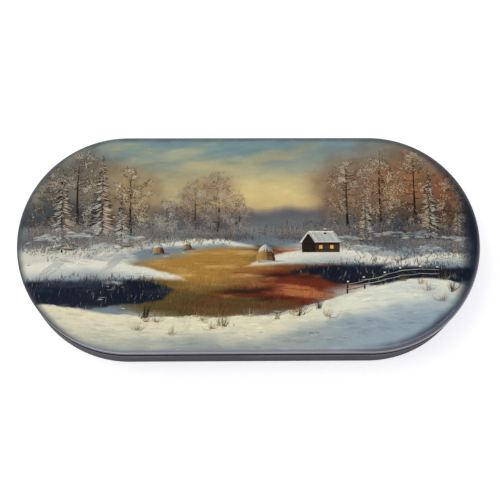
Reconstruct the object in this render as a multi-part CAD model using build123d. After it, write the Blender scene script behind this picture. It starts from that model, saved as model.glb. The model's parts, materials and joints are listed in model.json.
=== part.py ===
from build123d import *
import os
from math import acos, atan2, degrees, radians, sqrt, tan

# An oblong papier-mache lacquer box with round ends and a hinged, gently domed lid.
# Sizes are in millimetres. The length runs along X, the front faces -Y, the hinge is at +Y,
# and the box stands on Z = 0.

# Whole box
length = 165.0
width = 78.5
wall = 3.2

# Base: a wound wall with a pressed floor board let into a rabbet from below, flush with the foot
base_height = 15.0
floor_board = 3.0
floor_lap = 1.2
foot_bevel = 0.8
rim_bevel = 0.7

# Inner collar: the lining that stands above the rim and centres the lid
collar_wall = 1.5
collar_rise = 2.4
collar_ease = 0.4
collar_step_drop = 0.1
lid_clearance = 0.35

# Lid: a wound ring that carries a pressed, domed board on a lap
seam_gap = 0.15
lid_ring_height = 4.85
lip_bevel = 0.7
lid_lap = 1.2
lid_lap_depth = 1.2
lid_board = 3.2
lid_board_edge = 0.5
vault_flat_half = 18.0
shoulder_radius = 4.0
crown_camber = 2.5

# Hinge: brass leaves rolled round one pin, their plates set in saw kerfs in the back walls
hinge_pin_radius = 0.5
pin_fit = 0.04
leaf_sheet = 0.5
roll_gap = 0.1
knuckle_count = 5
barrel_length = 36.0
knuckle_gap = 0.15
barrel_gap = 0.15
barrel_cover = 0.1
base_leaf_depth = 7.0
leaf_cover = 0.4
kerf_gap = 0.06
opening_angle = 100.0
bevel_spare_angle = 1.0

# Leaf rivets: driven from inside through wall and leaf, short of the outer face
rivet_radius = 0.35
rivet_spacing = 24.0
rivet_cover = 0.6
rivet_fit = 0.02

# Glue line left between curved faces that are glued together, and the overrun of every cut
glue_line = 0.05
overrun = 2.0

# Places that follow from the sizes
half_width = width / 2
half_straight = length / 2 - half_width
inner_half = half_width - wall
lid_bottom = base_height + seam_gap
ring_top = lid_bottom + lid_ring_height
lap_z = ring_top - lid_lap_depth
shoulder_z = ring_top + lid_board_edge
crown_top = shoulder_z + shoulder_radius + crown_camber
bore_radius = hinge_pin_radius + pin_fit
knuckle_radius = bore_radius + leaf_sheet
relief_radius = knuckle_radius + barrel_gap
plate_start = knuckle_radius + knuckle_gap
knuckle_pitch = barrel_length / knuckle_count
axis_y = half_width - barrel_cover - relief_radius
axis_z = base_height + seam_gap / 2
plate_y = axis_y - (bore_radius + knuckle_radius) / 2
lid_leaf_depth = lap_z - axis_z - leaf_cover - kerf_gap
bevel_angle = opening_angle / 2 + bevel_spare_angle
below, above = -1, 1


def around(section):
    """Carries a section, drawn as distance from the middle line and height, round the whole outline."""
    facing_front = Rot(0, 0, -90) * section
    facing_back = Rot(0, 0, 90) * section
    left = Pos(-half_straight, 0, 0)
    right = Pos(half_straight, 0, 0)
    straight = 2 * half_straight
    front = extrude(left * facing_front, amount=straight, dir=(1, 0, 0))
    back = extrude(left * facing_back, amount=straight, dir=(1, 0, 0))
    right_axis = Axis((half_straight, 0, 0), (0, 0, 1))
    left_axis = Axis((-half_straight, 0, 0), (0, 0, 1))
    right_end = revolve(right * facing_front, axis=right_axis, revolution_arc=180)
    left_end = revolve(left * facing_back, axis=left_axis, revolution_arc=180)
    return Part() + [front, right_end, back, left_end]


def section_of(points, bevels=()):
    """A closed section through (distance, height) points, with each (corner, size) bevelled."""
    face = make_face(Plane.XZ * Polyline(*points, close=True))
    for corner, size in bevels:
        place = (Plane.XZ * Pos(*corner)).position
        vertex = face.vertices().sort_by_distance(place)[0]
        face = chamfer(vertex, size)
    return face


def base_wall():
    """The wound wall: rabbeted below for the floor, bevelled at foot and rim, cut at the back for the hinge."""
    lap_half = inner_half + floor_lap
    section = section_of(
        [
            (half_width, 0),
            (half_width, base_height),
            (inner_half, base_height),
            (inner_half, floor_board),
            (lap_half, floor_board),
            (lap_half, 0),
        ],
        [((half_width, 0), foot_bevel), ((half_width, base_height), rim_bevel)],
    )
    return cut_for_hinge(around(section), below, base_leaf_depth)


def base_floor():
    """The pressed board that fills the rabbet and lies flush with the foot."""
    edge = inner_half + floor_lap - glue_line
    return around(section_of([(0, 0), (edge, 0), (edge, floor_board), (0, floor_board)]))


def inner_collar():
    """The lining: glued to the wall up to the rim, stepped in above it to clear the lid."""
    glued = inner_half - glue_line
    free = inner_half - lid_clearance
    inside = glued - collar_wall
    step_z = base_height - collar_step_drop
    top = base_height + collar_rise
    section = section_of(
        [
            (glued, floor_board),
            (glued, step_z),
            (free, step_z),
            (free, top - collar_ease),
            (free - collar_ease, top),
            (inside + collar_ease, top),
            (inside, top - collar_ease),
            (inside, floor_board),
        ]
    )
    return around(section)


def lid_ring():
    """The lid's wound wall, rabbeted above for the domed board and cut at the back for the hinge."""
    lap_half = inner_half + lid_lap
    section = section_of(
        [
            (half_width, lid_bottom),
            (half_width, ring_top),
            (lap_half, ring_top),
            (lap_half, lap_z),
            (inner_half, lap_z),
            (inner_half, lid_bottom),
        ],
        [((half_width, lid_bottom), lip_bevel)],
    )
    return cut_for_hinge(around(section), above, lid_leaf_depth)


def lid_top():
    """The domed board. Its crown arc is level on the middle line and runs on into the shoulder arc.
    Its underside keeps a board's thickness from the crown, as a flat with a slope down to the rim."""
    reach = half_width - shoulder_radius
    crown_radius = (reach**2 + crown_camber**2) / (2 * crown_camber) + shoulder_radius
    centre_z = crown_top - crown_radius
    turn = degrees(atan2(shoulder_z - centre_z, reach))
    crown = CenterArc((0, centre_z), crown_radius, turn, 90 - turn)
    shoulder = CenterArc((reach, shoulder_z), shoulder_radius, 0, turn)
    flat_z, slope_foot_z = (
        centre_z + sqrt(crown_radius**2 - distance**2) - lid_board
        for distance in (vault_flat_half, inner_half)
    )
    spigot = inner_half + lid_lap - glue_line
    rim = Polyline(
        shoulder @ 0,
        (half_width, ring_top),
        (spigot, ring_top),
        (spigot, lap_z),
        (inner_half, lap_z),
        (inner_half, slope_foot_z),
        (vault_flat_half, flat_z),
        (0, flat_z),
        crown @ 1,
    )
    outline = Curve() + [crown, shoulder, rim]
    return around(make_face(Plane.XZ * outline))


def cut_for_hinge(solid, side, leaf_depth):
    """Takes the bevel, the barrel's space, the leaf's kerf and the rivet holes out of a back wall."""
    solid -= back_bevel(side)
    solid -= along_hinge(relief_radius, barrel_length + 2 * barrel_gap)
    solid -= kerf(side, leaf_depth)
    return solid - rivets(side, leaf_depth, rivet_fit)


def back_bevel(side):
    """The wedge that frees the seam behind the hinge axis as the lid swings back."""
    reach = half_width - axis_y + overrun
    drop = side * reach * tan(radians(bevel_angle))
    tip = Pos(0, axis_y, axis_z)
    outline = Polyline((0, 0), (reach, 0), (reach, drop), close=True)
    wedge = make_face(Plane.YZ * outline)
    return extrude(Pos(-half_straight - half_width, 0, 0) * tip * wedge, amount=length, dir=(1, 0, 0))


def along_hinge(radius, span):
    """A round bar on the hinge axis."""
    return Pos(0, axis_y, axis_z) * Rot(0, 90, 0) * Cylinder(radius, span)


def kerf(side, depth):
    """The saw cut in the wall's thickness that takes a leaf's plate."""
    height = depth + kerf_gap
    slot = Box(barrel_length + 2 * kerf_gap, leaf_sheet + 2 * kerf_gap, height)
    return Pos(0, plate_y, axis_z + side * height / 2) * slot


def rivets(side, depth, growth=0.0):
    """The two rivets of a leaf, or with growth the holes that take them."""
    start = inner_half - growth
    end = half_width - rivet_cover + growth
    bar = Rot(90, 0, 0) * Cylinder(rivet_radius + growth, end - start)
    height = axis_z + side * (plate_start + depth) / 2
    places = [Pos(x, (start + end) / 2, height) for x in (-rivet_spacing / 2, rivet_spacing / 2)]
    return Part() + [place * bar for place in places]


def knuckle_section(depth):
    """The sheet seen end on: a plate that hangs from its roll, and the roll ending just short of the plate."""
    turn = degrees(acos((bore_radius - roll_gap) / knuckle_radius))
    outside = CenterArc((0, 0), knuckle_radius, 180, turn - 360)
    inside = CenterArc((0, 0), bore_radius, 180, turn - 360)
    end = Line(outside @ 1, inside @ 1)
    plate = Polyline(inside @ 0, (-bore_radius, -depth), (-knuckle_radius, -depth), outside @ 0)
    return make_face(Plane.YZ * (Curve() + [outside, end, inside, plate]))


def leaf(side, depth, own_knuckles):
    """A brass leaf: one plate in its kerf, rolled into a knuckle at each of its own places."""
    plate_height = depth - plate_start
    sheet = Box(barrel_length, leaf_sheet, plate_height)
    plate = Pos(0, plate_y - axis_y, -plate_start - plate_height / 2) * sheet
    span = knuckle_pitch - knuckle_gap
    roll = extrude(knuckle_section(depth), amount=span / 2, both=True)
    middles = [(number + 0.5) * knuckle_pitch - barrel_length / 2 for number in own_knuckles]
    hanging = Part() + [plate] + [Pos(x, 0, 0) * roll for x in middles]
    turned = hanging if side == below else mirror(hanging, about=Plane.XY)
    return Pos(0, axis_y, axis_z) * turned - rivets(side, depth, rivet_fit)


def hinge_pin():
    """The wire that joins the knuckles, as long as the barrel."""
    return along_hinge(hinge_pin_radius, barrel_length - knuckle_gap)


nodes = {
    "base_wall": base_wall(),
    "base_floor": base_floor(),
    "inner_collar": inner_collar(),
    "lid_ring": lid_ring(),
    "lid_top": lid_top(),
    "hinge_leaf_base": leaf(below, base_leaf_depth, range(0, knuckle_count, 2)),
    "hinge_leaf_lid": leaf(above, lid_leaf_depth, range(1, knuckle_count, 2)),
    "hinge_pin": hinge_pin(),
    "base_leaf_rivets": rivets(below, base_leaf_depth),
    "lid_leaf_rivets": rivets(above, lid_leaf_depth),
}

os.makedirs("parts", exist_ok=True)
for name, solid in nodes.items():
    export_step(solid, f"parts/{name}.step")
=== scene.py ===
"""An oblong lacquer box with a painted, hinged lid: its lacquered shells, picture, brass and stage."""

import json
from math import cos, radians, sin, sqrt

import bmesh
import bpy
import numpy as np
from bpy.props import FloatProperty, FloatVectorProperty, IntProperty, PointerProperty
from mathutils import Matrix, Vector


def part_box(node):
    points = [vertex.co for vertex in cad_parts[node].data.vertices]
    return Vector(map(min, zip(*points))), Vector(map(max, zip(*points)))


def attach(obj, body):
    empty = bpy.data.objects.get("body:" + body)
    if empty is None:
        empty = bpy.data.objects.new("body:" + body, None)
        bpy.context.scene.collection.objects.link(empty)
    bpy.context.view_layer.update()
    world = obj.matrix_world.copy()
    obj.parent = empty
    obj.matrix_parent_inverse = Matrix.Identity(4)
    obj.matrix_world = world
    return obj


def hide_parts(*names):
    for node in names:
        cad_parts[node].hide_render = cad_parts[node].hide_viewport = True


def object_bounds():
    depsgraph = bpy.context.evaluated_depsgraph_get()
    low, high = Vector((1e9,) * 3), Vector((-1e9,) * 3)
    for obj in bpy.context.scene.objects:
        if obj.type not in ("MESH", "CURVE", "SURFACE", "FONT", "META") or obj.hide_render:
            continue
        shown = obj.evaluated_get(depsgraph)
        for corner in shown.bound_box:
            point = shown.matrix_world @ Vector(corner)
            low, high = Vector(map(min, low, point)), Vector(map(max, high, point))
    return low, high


bl_info = {
    "name": "Painted lacquer box",
    "version": (1, 0, 0),
    "blender": (4, 5, 0),
    "location": "View3D > Sidebar > Lacquer box",
    "description": "Builds the lacquered shells, the painted lid and the brass of an oblong box",
    "category": "Object",
}

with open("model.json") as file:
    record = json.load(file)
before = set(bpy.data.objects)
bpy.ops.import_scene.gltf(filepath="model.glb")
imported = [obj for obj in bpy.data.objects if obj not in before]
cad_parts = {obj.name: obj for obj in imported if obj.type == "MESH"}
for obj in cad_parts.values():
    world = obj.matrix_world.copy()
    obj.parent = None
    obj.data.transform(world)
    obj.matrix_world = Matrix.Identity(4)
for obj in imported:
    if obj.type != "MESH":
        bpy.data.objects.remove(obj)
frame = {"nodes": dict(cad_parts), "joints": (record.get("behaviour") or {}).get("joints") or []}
cad_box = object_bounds()

MM = 0.001

# Places in metres: the seam's two heights, and the gap at each end of the hinge barrel, are given, and
# the others are taken from the frame
HALF_LENGTH = cad_box[1].x
HALF_WIDTH = -cad_box[0].y
HALF_STRAIGHT = HALF_LENGTH - HALF_WIDTH
CROWN_TOP = cad_box[1].z
FLOOR_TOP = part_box("base_floor")[1].z
FLOOR_EDGE = -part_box("base_floor")[0].y
BASE_TOP = 15.0 * MM
COLLAR_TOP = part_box("inner_collar")[1].z
COLLAR_GLUED = -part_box("inner_collar")[0].y
LID_BOTTOM = 15.15 * MM
RING_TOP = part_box("lid_ring")[1].z
LAP_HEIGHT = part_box("lid_top")[0].z
HINGE = Vector(frame["joints"][0]["pos_m"])
BARREL_END_GAP = 0.225 * MM
BARREL_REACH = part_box("hinge_pin")[1].x + BARREL_END_GAP

# The hinge's cut: the angle of its bevel in degrees, the radius round the barrel, half a sharp crease
BEVEL_ANGLE = 51.0
BARREL_SPACE = 1.19 * MM
CREASE = 0.01 * MM

# Small gaps and steps of the shells
RING_SPARE = 0.03 * MM
COLLAR_STEP = 0.1 * MM
LIP_EDGE = 0.1 * MM
MERGE_GAP = 0.0005 * MM

# Fineness of the shells: columns along a straight and round an end, rows over the crown and over the
# shoulder, and the angle in degrees from which an edge stays crisp
WALL_COLUMNS = (96, 96)
INSIDE_COLUMNS = (48, 96)
BOARD_COLUMNS = (172, 236)
BOARD_ROWS = (72, 10)
CRISP_ANGLE = 32.0

# The picture's outline, the bare edge round the strokes and the depth of a stroke's keel, in mm
STRAIGHT_MM = HALF_STRAIGHT / MM
WIDTH_MM = HALF_WIDTH / MM
BARE_EDGE = 1.1
KEEL = 0.05

# Shapes of strokes: half widths from start to end as shares of the broadest
LONG_SPINDLE = (0.2, 1, 0.8, 0.2)
SNOW_SPINDLE = (0.15, 1, 0.9, 0.15)
BLADE = (1, 0.9, 0.7, 0.45, 0.15)

# Plain colours of dust, and of the near black painted as shade at the seam, as light
DUST = (0.2, 0.19, 0.22)
SEAM_SHADE_BLACK = (0.002, 0.002, 0.003)


def shade(red, green, blue):
    """The linear colour of an ordinary 0 to 255 red, green and blue."""
    values = np.array([red, green, blue]) / 255
    curved = ((values + 0.055) / 1.055) ** 2.4
    return tuple(np.where(values < 0.04045, values / 12.92, curved).tolist())


def size(name, description, default_mm):
    """A length that a user may change, given in millimetres and kept in metres."""
    return FloatProperty(name=name, description=description, default=default_mm * MM, min=0.0, unit="LENGTH")


def spot(axis, default_mm):
    """One coordinate of the point that the camera looks at."""
    words = "Point that the camera looks at"
    return FloatProperty(name="Target " + axis, description=words, default=default_mm * MM, unit="LENGTH")


def angle(name, description, degrees):
    return FloatProperty(name=name, description=description, default=radians(degrees), subtype="ANGLE")


def strength(name, description, default, unit="NONE"):
    return FloatProperty(name=name, description=description, default=default, min=0.0, unit=unit)


def amount(name, description, default):
    return IntProperty(name=name, description=description, default=default, min=1)


def colour(name, description, red, green, blue):
    """A colour that a user may change, given as an ordinary 0 to 255 red, green and blue."""
    light = {"default": shade(red, green, blue), "size": 3, "min": 0.0, "max": 1.0, "subtype": "COLOR"}
    return FloatVectorProperty(name=name, description=description, **light)


class LacquerBoxSizes(bpy.types.PropertyGroup):
    """Sizes of the lacquered shells."""

    wall: size("Wall", "Thickness of the wound walls", 3.2)
    foot_round: size("Foot round", "Radius of the outer edge that the box stands on", 0.9)
    rim_round: size("Rim round", "Radius of the base's outer edge at the seam", 0.3)
    lip_round: size("Lip round", "Radius of the lid's outer edge at the seam", 2.6)
    floor_lap: size("Lap", "How far a board is let into the wall", 1.2)
    collar_wall: size("Collar wall", "Thickness of the lining that centres the lid", 1.5)
    collar_ease: size("Collar ease", "Bevel at the top of the lining", 0.4)
    lid_clearance: size("Lid clearance", "Gap between the lining and the lid", 0.35)
    board: size("Board", "Thickness of the domed board", 3.2)
    board_edge: size("Board edge", "Upright edge of the domed board", 0.5)
    shoulder: size("Shoulder", "Radius where the crown rolls over into the side", 4.0)
    camber: size("Camber", "Height of the crown above the shoulder's start", 2.5)
    vault_flat: size("Flat of the underside", "Half width of the flat under the lid", 18.0)
    paint_depth: size("Paint depth", "How far the ground coat lies under the finished surface", 0.1)


class PictureColours(bpy.types.PropertyGroup):
    """Pigments of the winter evening on the lid."""

    sky_top: colour("Sky at the edge", "Teal blue along the upper edge", 122, 152, 154)
    sky_pale: colour("Pale sky", "Grey green haze towards the left", 144, 152, 136)
    sky_dusk: colour("Dusk", "Pinkish brown haze towards the right", 156, 130, 104)
    glow: colour("Evening glow", "Warm yellow light low in the sky", 218, 200, 134)
    peach: colour("Peach", "Last light along the hills", 196, 150, 106)
    mist: colour("Mist", "Blue grey haze in the valley", 110, 118, 120)
    far_hill: colour("Far hill", "Mauve blue of the distant ridge", 84, 92, 104)
    spruce_deep: colour("Deep spruce", "Near black of the inner boughs", 26, 26, 30)
    spruce_mid: colour("Spruce", "Grey brown boughs", 66, 60, 56)
    larch: colour("Larch", "Brown twigs", 98, 74, 60)
    larch_light: colour("Lit larch", "Warm twigs against the light", 162, 132, 98)
    frost: colour("Frost", "Hoarfrost on boughs and brush", 178, 176, 164)
    snow: colour("Snow", "Cream white lit snow", 226, 226, 206)
    snow_shade: colour("Snow in shade", "Blue grey hollows in the snow", 120, 138, 146)
    amber: colour("Amber", "Lit grass", 172, 130, 58)
    olive: colour("Olive", "Grass turning from the light", 92, 76, 36)
    rust: colour("Rust", "Bare earth and far grass", 112, 46, 24)
    copper: colour("Copper", "Bracken in the last light", 178, 108, 62)
    straw: colour("Straw", "Lit straw", 218, 186, 116)
    timber: colour("Timber", "Weathered logs", 62, 46, 38)
    navy: colour("Navy", "Dark hollows and the edge of the picture", 14, 26, 44)
    lamp: colour("Lamplight", "Window of the cottage", 250, 196, 92)


class LacquerColours(bpy.types.PropertyGroup):
    """Lacquers and brass."""

    black: colour("Black lacquer", "Outside of base and lid, with a plum cast", 28, 25, 34)
    plum: colour("Plum", "Cloudy depth in the black", 50, 44, 62)
    cinnabar: colour("Cinnabar", "Lacquer inside the box", 172, 40, 26)
    cinnabar_deep: colour("Deep cinnabar", "Thin and worn places inside", 112, 22, 16)
    brass: colour("Brass", "Leaves, pin and rivets", 206, 168, 98)
    tarnish: colour("Tarnish", "Aged brass", 118, 84, 46)


class LacquerStage(bpy.types.PropertyGroup):
    """Light, floor and camera."""

    key: strength("Key light", "Soft light from the upper left", 0.62, "POWER")
    strip: strength("Strip", "Low strip at the front right", 1.6, "POWER")
    fill: strength("Sky light", "Even light from all round", 0.62)
    floor_size: size("Floor", "Half width of the floor", 2500.0)
    target_x: spot("X", 0.475)
    target_y: spot("Y", 0.18)
    target_z: spot("Z", 10.0)
    distance: size("Distance", "From the camera to its target", 492.026)
    elevation: angle("Elevation", "Height angle", 76.904)
    azimuth: angle("Azimuth", "Turn about Z", -5.944)
    roll: angle("Roll", "Turn of the picture", 5.598)
    lens: FloatProperty(
        name="Lens", description="Focal length in mm on a 36 mm sensor", default=97.305, min=1.0
    )


class PictureCounts(bpy.types.PropertyGroup):
    """How many strokes the painter lays down."""

    boughs: amount("Boughs", "Strokes for each near spruce", 460)
    twigs: amount("Twigs", "Dabs for each larch", 900)
    far_trees: amount("Far trees", "Spruces along the far hill", 120)
    brush: amount("Brush", "Dabs of frosted brush", 7600)
    grass: amount("Grass", "Strokes of lit grass", 3600)
    drifts: amount("Drifts", "Strokes of snow", 900)
    tufts: amount("Tufts", "Tufts of dry grass", 20)


# Shader building

class Value:
    """A shader value that takes part in ordinary sums: each operator adds its Math node."""

    def __init__(self, tree, socket):
        self.tree = tree
        self.socket = socket

    def maths(self, operation, *others):
        node = self.tree.nodes.new("ShaderNodeMath")
        node.operation = operation
        for place, other in zip(node.inputs, (self, *others)):
            if isinstance(other, Value):
                self.tree.links.new(other.socket, place)
            else:
                place.default_value = other
        return Value(self.tree, node.outputs[0])

    def __add__(self, other):
        return self.maths("ADD", other)

    def __mul__(self, other):
        return self.maths("MULTIPLY", other)

    def __sub__(self, other):
        return self.maths("SUBTRACT", other)

    def __rsub__(self, other):
        return (self * -1.0).maths("ADD", other)

    def __truediv__(self, other):
        return self.maths("DIVIDE", other)

    def __pow__(self, other):
        return self.maths("POWER", other)

    __radd__ = __add__
    __rmul__ = __mul__

    def between(self, low, high):
        """0 below low, 1 above high, smooth between."""
        node = self.tree.nodes.new("ShaderNodeMapRange")
        node.interpolation_type = "SMOOTHSTEP"
        self.tree.links.new(self.socket, node.inputs["Value"])
        node.inputs["From Min"].default_value = low
        node.inputs["From Max"].default_value = high
        return Value(self.tree, node.outputs["Result"])


class Finish:
    """A material in the making: node() adds any node, and the other methods name common patterns."""

    def __init__(self, name, owner=None):
        self.owner = owner or bpy.data.materials.new(name)
        self.owner.use_nodes = True
        self.tree = self.owner.node_tree
        self.tree.nodes.clear()
        self.place = None

    def socket(self, sockets, name):
        """The socket with this identifier, or else with this name."""
        return next((found for found in sockets if found.identifier == name), None) or sockets[name]

    def node(self, kind, settings=None, values=None):
        """Adds a node of this kind, first with its settings, then with values or links at its sockets."""
        node = self.tree.nodes.new(kind)
        for key, setting in (settings or {}).items():
            setattr(node, key, setting)
        for name, value in (values or {}).items():
            place = self.socket(node.inputs, name)
            if isinstance(value, Value):
                self.tree.links.new(value.socket, place)
            elif isinstance(value, bpy.types.NodeSocket):
                self.tree.links.new(value, place)
            else:
                place.default_value = value
        return node

    def shader(self, kind, **values):
        """The output of a new shader node."""
        return self.node(kind, None, values).outputs[0]

    def values(self, kind, names, values=None):
        """Outputs of one new node, ready for sums."""
        outputs = self.node(kind, None, values).outputs
        return [Value(self.tree, outputs[name]) for name in names]

    def light_path(self):
        return self.values("ShaderNodeLightPath", ("Is Camera Ray", "Is Glossy Ray", "Is Transmission Ray"))

    def where(self):
        if self.place is None:
            self.place = self.node("ShaderNodeTexCoord").outputs["Object"]
        return self.place

    def stretched(self, x, y, z, turn=0.0):
        """Object coordinates, scaled along each axis after a turn about Z."""
        mapping = {"Vector": self.where(), "Scale": (x, y, z), "Rotation": (0.0, 0.0, turn)}
        return self.node("ShaderNodeMapping", None, mapping).outputs["Vector"]

    def noise(self, scale, detail=3.0, roughness=0.5, distortion=0.0, place=None):
        """Noise with its coarsest features about 1 / scale metres apart."""
        values = {
            "Vector": place or self.where(),
            "Scale": scale,
            "Detail": detail,
            "Roughness": roughness,
            "Distortion": distortion,
        }
        return Value(self.tree, self.node("ShaderNodeTexNoise", None, values).outputs[0])

    def specks(self, scale, width):
        """Fine dust or pits: 1 within width of the point of each cell."""
        values = {"Vector": self.where(), "Scale": scale}
        cells, = self.values("ShaderNodeTexVoronoi", ("Distance",), values)
        return 1.0 - cells.between(width * 0.4, width)

    def blend(self, factor, first, second, kind="MIX"):
        """first where factor is 0 and second where it is 1."""
        settings = {"data_type": "RGBA", "blend_type": kind}
        values = {"Factor_Float": factor, "A_Color": self.full(first), "B_Color": self.full(second)}
        node = self.node("ShaderNodeMix", settings, values)
        return self.socket(node.outputs, "Result_Color")

    def full(self, value):
        """A colour of three numbers gets its fourth; a link passes."""
        return value if isinstance(value, bpy.types.NodeSocket) else (*value, 1.0)

    def bump(self, height, strength, distance):
        values = {"Height": height, "Strength": strength, "Distance": distance}
        return self.node("ShaderNodeBump", None, values).outputs["Normal"]

    def surface(self, shader):
        self.node("ShaderNodeOutputMaterial", None, {"Surface": shader})
        return self.owner

    def principled(self, values):
        return self.surface(self.node("ShaderNodeBsdfPrincipled", None, values).outputs[0])


def black_lacquer(colours):
    """Many coats of black oil lacquer: a cloudy plum depth, dust, wiping marks cut by finer streaks, and a
    soft ripple under a clear coat. Between base and lid it is left matt, and darkened to near black as
    painted shade at the seam."""
    finish = Finish("black_oil_lacquer")
    height, = finish.values("ShaderNodeSeparateXYZ", ("Z",), {"Vector": finish.where()})
    # painted shade: a band across the seam between base and lid is darkened to near black, and left matt
    matt = height.between(14.5 * MM, 14.75 * MM) * (1.0 - height.between(15.7 * MM, 16.4 * MM))
    depth = finish.noise(52.0, 5.0, 0.62, 0.5).between(0.4, 0.64)
    base = finish.blend(depth, colours.black, colours.plum)
    base = finish.blend(finish.specks(700.0, 0.12) * 0.5, base, DUST)
    broad = finish.noise(46.0, 4.0, 0.6, 0.8)
    streaks = finish.noise(150.0, 3.0, 0.6, 0.0, finish.stretched(0.4, 1.0, 5.0, 0.3))
    marks = (broad * 0.6 + streaks * 0.4).between(0.45, 0.6)
    ripple = finish.noise(210.0, 3.0, 0.5)
    return finish.principled({
        # near black in the seam band, as painted shade
        "Base Color": finish.blend(matt * 0.9, base, SEAM_SHADE_BLACK),
        "Roughness": 0.12 + marks * 0.14 + matt * 0.7,
        "Normal": finish.bump(ripple, 0.5, 0.03 * MM),
        "IOR": 1.5,
        "Coat Weight": (1.0 - matt) * 0.4,
        "Coat Roughness": 0.04,
        "Coat IOR": 1.5,
    })


def red_lacquer(colours):
    """Cinnabar lacquer brushed inside the box: long brush marks, thin places, a softer gloss."""
    finish = Finish("cinnabar_oil_lacquer")
    thin = finish.noise(48.0, 5.0, 0.65, 0.9).between(0.44, 0.62)
    brushed = finish.noise(80.0, 4.0, 0.65, 0.0, finish.stretched(0.25, 7.0, 7.0))
    base = finish.blend(thin * 0.45, colours.cinnabar, colours.cinnabar_deep)
    base = finish.blend(brushed.between(0.42, 0.62) * 0.36, base, colours.cinnabar_deep)
    base = finish.blend(finish.specks(420.0, 0.12) * 0.6, base, colours.black)
    return finish.principled({
        "Base Color": base,
        "Roughness": 0.18 + brushed * 0.26,
        "Normal": finish.bump(brushed, 0.8, 0.12 * MM),
        "Coat Weight": 0.6,
        "Coat Roughness": 0.08,
    })


def picture_paint(colours):
    """Oil paint under clear lacquer: the laid colour, brush hairs, pigment grain and thin glazes, all
    under a glossy coat."""
    finish = Finish("picture_paint")
    laid = finish.node("ShaderNodeVertexColor", {"layer_name": "paint"}).outputs["Color"]
    hairs = finish.noise(900.0, 3.0, 0.6, 0.4, finish.stretched(0.3, 1.0, 1.0, 0.15))
    grain = finish.noise(2600.0, 2.0, 0.6)
    glaze = finish.noise(90.0, 4.0, 0.6, 0.5).between(0.3, 0.75)
    lighter = finish.blend(hairs.between(0.38, 0.68) * 0.3, laid, (0.62, 0.6, 0.56), "SOFT_LIGHT")
    darker = finish.blend(grain.between(0.45, 0.7) * 0.32, lighter, (0.22, 0.22, 0.25), "SOFT_LIGHT")
    warm = finish.blend(glaze * 0.16, darker, (0.5, 0.44, 0.36), "SOFT_LIGHT")
    return finish.principled({
        "Base Color": warm,
        "Roughness": 0.34 + grain * 0.12,
        "Normal": finish.bump(finish.noise(150.0, 2.0, 0.45), 0.3, 0.01 * MM),
        "Specular IOR Level": 0.2,
        "Coat Weight": 0.8,
        "Coat Roughness": 0.05,
        "Coat IOR": 1.45,
    })


def brass_metal(colours):
    """Rolled sheet brass: rolling lines along X, brown tarnish in patches, small pits."""
    finish = Finish("brass_metal")
    lines = finish.noise(900.0, 3.0, 0.6, 0.0, finish.stretched(0.1, 3.0, 3.0))
    patches = finish.noise(260.0, 5.0, 0.6, 0.5).between(0.48, 0.7)
    pits = finish.specks(1500.0, 0.16)
    base = finish.blend(patches * 0.75, colours.brass, colours.tarnish)
    base = finish.blend(pits * 0.5, base, colours.tarnish)
    return finish.principled({
        "Base Color": base,
        "Metallic": 1.0,
        "Roughness": 0.24 + lines * 0.2 + patches * 0.16,
        "Normal": finish.bump(lines, 0.6, 0.01 * MM),
    })


# Finishes by name
MAKERS = {
    "black_oil_lacquer": black_lacquer,
    "cinnabar_oil_lacquer": red_lacquer,
    "picture_paint": picture_paint,
    "brass_metal": brass_metal,
}


def finish_named(context, name):
    """The finish of this name, made on its first use."""
    return bpy.data.materials.get(name) or MAKERS[name](context.scene.lacquer_colours)


# Surfaces

def outline_columns(straight, ends):
    """The oblong outline as columns. Each has the middle line's X and an outward direction: the front
    straight has it along -Y, the right end turns it through half a circle, then back and left follow."""
    along = np.linspace(-HALF_STRAIGHT, HALF_STRAIGHT, straight + 1)
    turn = np.linspace(-np.pi / 2, np.pi / 2, ends + 1)[:-1]
    right, left = np.full(ends, HALF_STRAIGHT), np.full(ends, -HALF_STRAIGHT)
    spine = np.concatenate([along[:-1], right, along[:0:-1], left])
    x = np.concatenate([np.zeros(straight), np.cos(turn), np.zeros(straight), -np.cos(turn)])
    y = np.concatenate([-np.ones(straight), np.sin(turn), np.ones(straight), -np.sin(turn)])
    return spine, x, y


def with_barrel_columns(columns):
    """The same columns with a close pair at each end of the hinge barrel, so that its space ends sharply."""
    spine, x, y = columns
    for place in (-BARREL_REACH, BARREL_REACH):
        for step in (-CREASE, CREASE):
            back = np.flatnonzero(y > 0.999)
            after = back[np.searchsorted(-spine[back], -(place + step))]
            spine = np.insert(spine, after, place + step)
            x, y = np.insert(x, after, 0.0), np.insert(y, after, 1.0)
    return spine, x, y


def arc(centre, radius, start, end, count):
    """Points on a circle about centre from start to end, in degrees, as (distance, height)."""
    turn = np.radians(np.linspace(start, end, count + 1))
    return np.stack([centre[0] + radius * np.cos(turn), centre[1] + radius * np.sin(turn)], 1)


def run(start, end, count):
    """Points from start to end, ends included."""
    return np.linspace(start, end, count + 1)


def carried(profile, columns):
    """A section of (distance, height) points carried round the outline: the point is the middle line's
    place plus distance times the outward direction, at the section's height."""
    spine, x, y = columns
    distance, height = profile[:, :1], profile[:, 1:]
    return np.stack(np.broadcast_arrays(spine + distance * x, distance * y, height), -1)


def faces_of(*corners):
    """Faces from one array for each of their corners."""
    return np.stack(np.broadcast_arrays(*corners), -1).reshape(-1, len(corners))


def grid_faces(rows, columns, closed):
    """Quads of a grid whose columns close on themselves, and whose rows do too where closed."""
    row = np.arange(rows if closed else rows - 1)[:, None]
    column = np.arange(columns)[None, :]
    near, far = row * columns, (row + 1) % rows * columns
    beside = (column + 1) % columns
    return faces_of(near + column, near + beside, far + beside, far + column)


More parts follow.
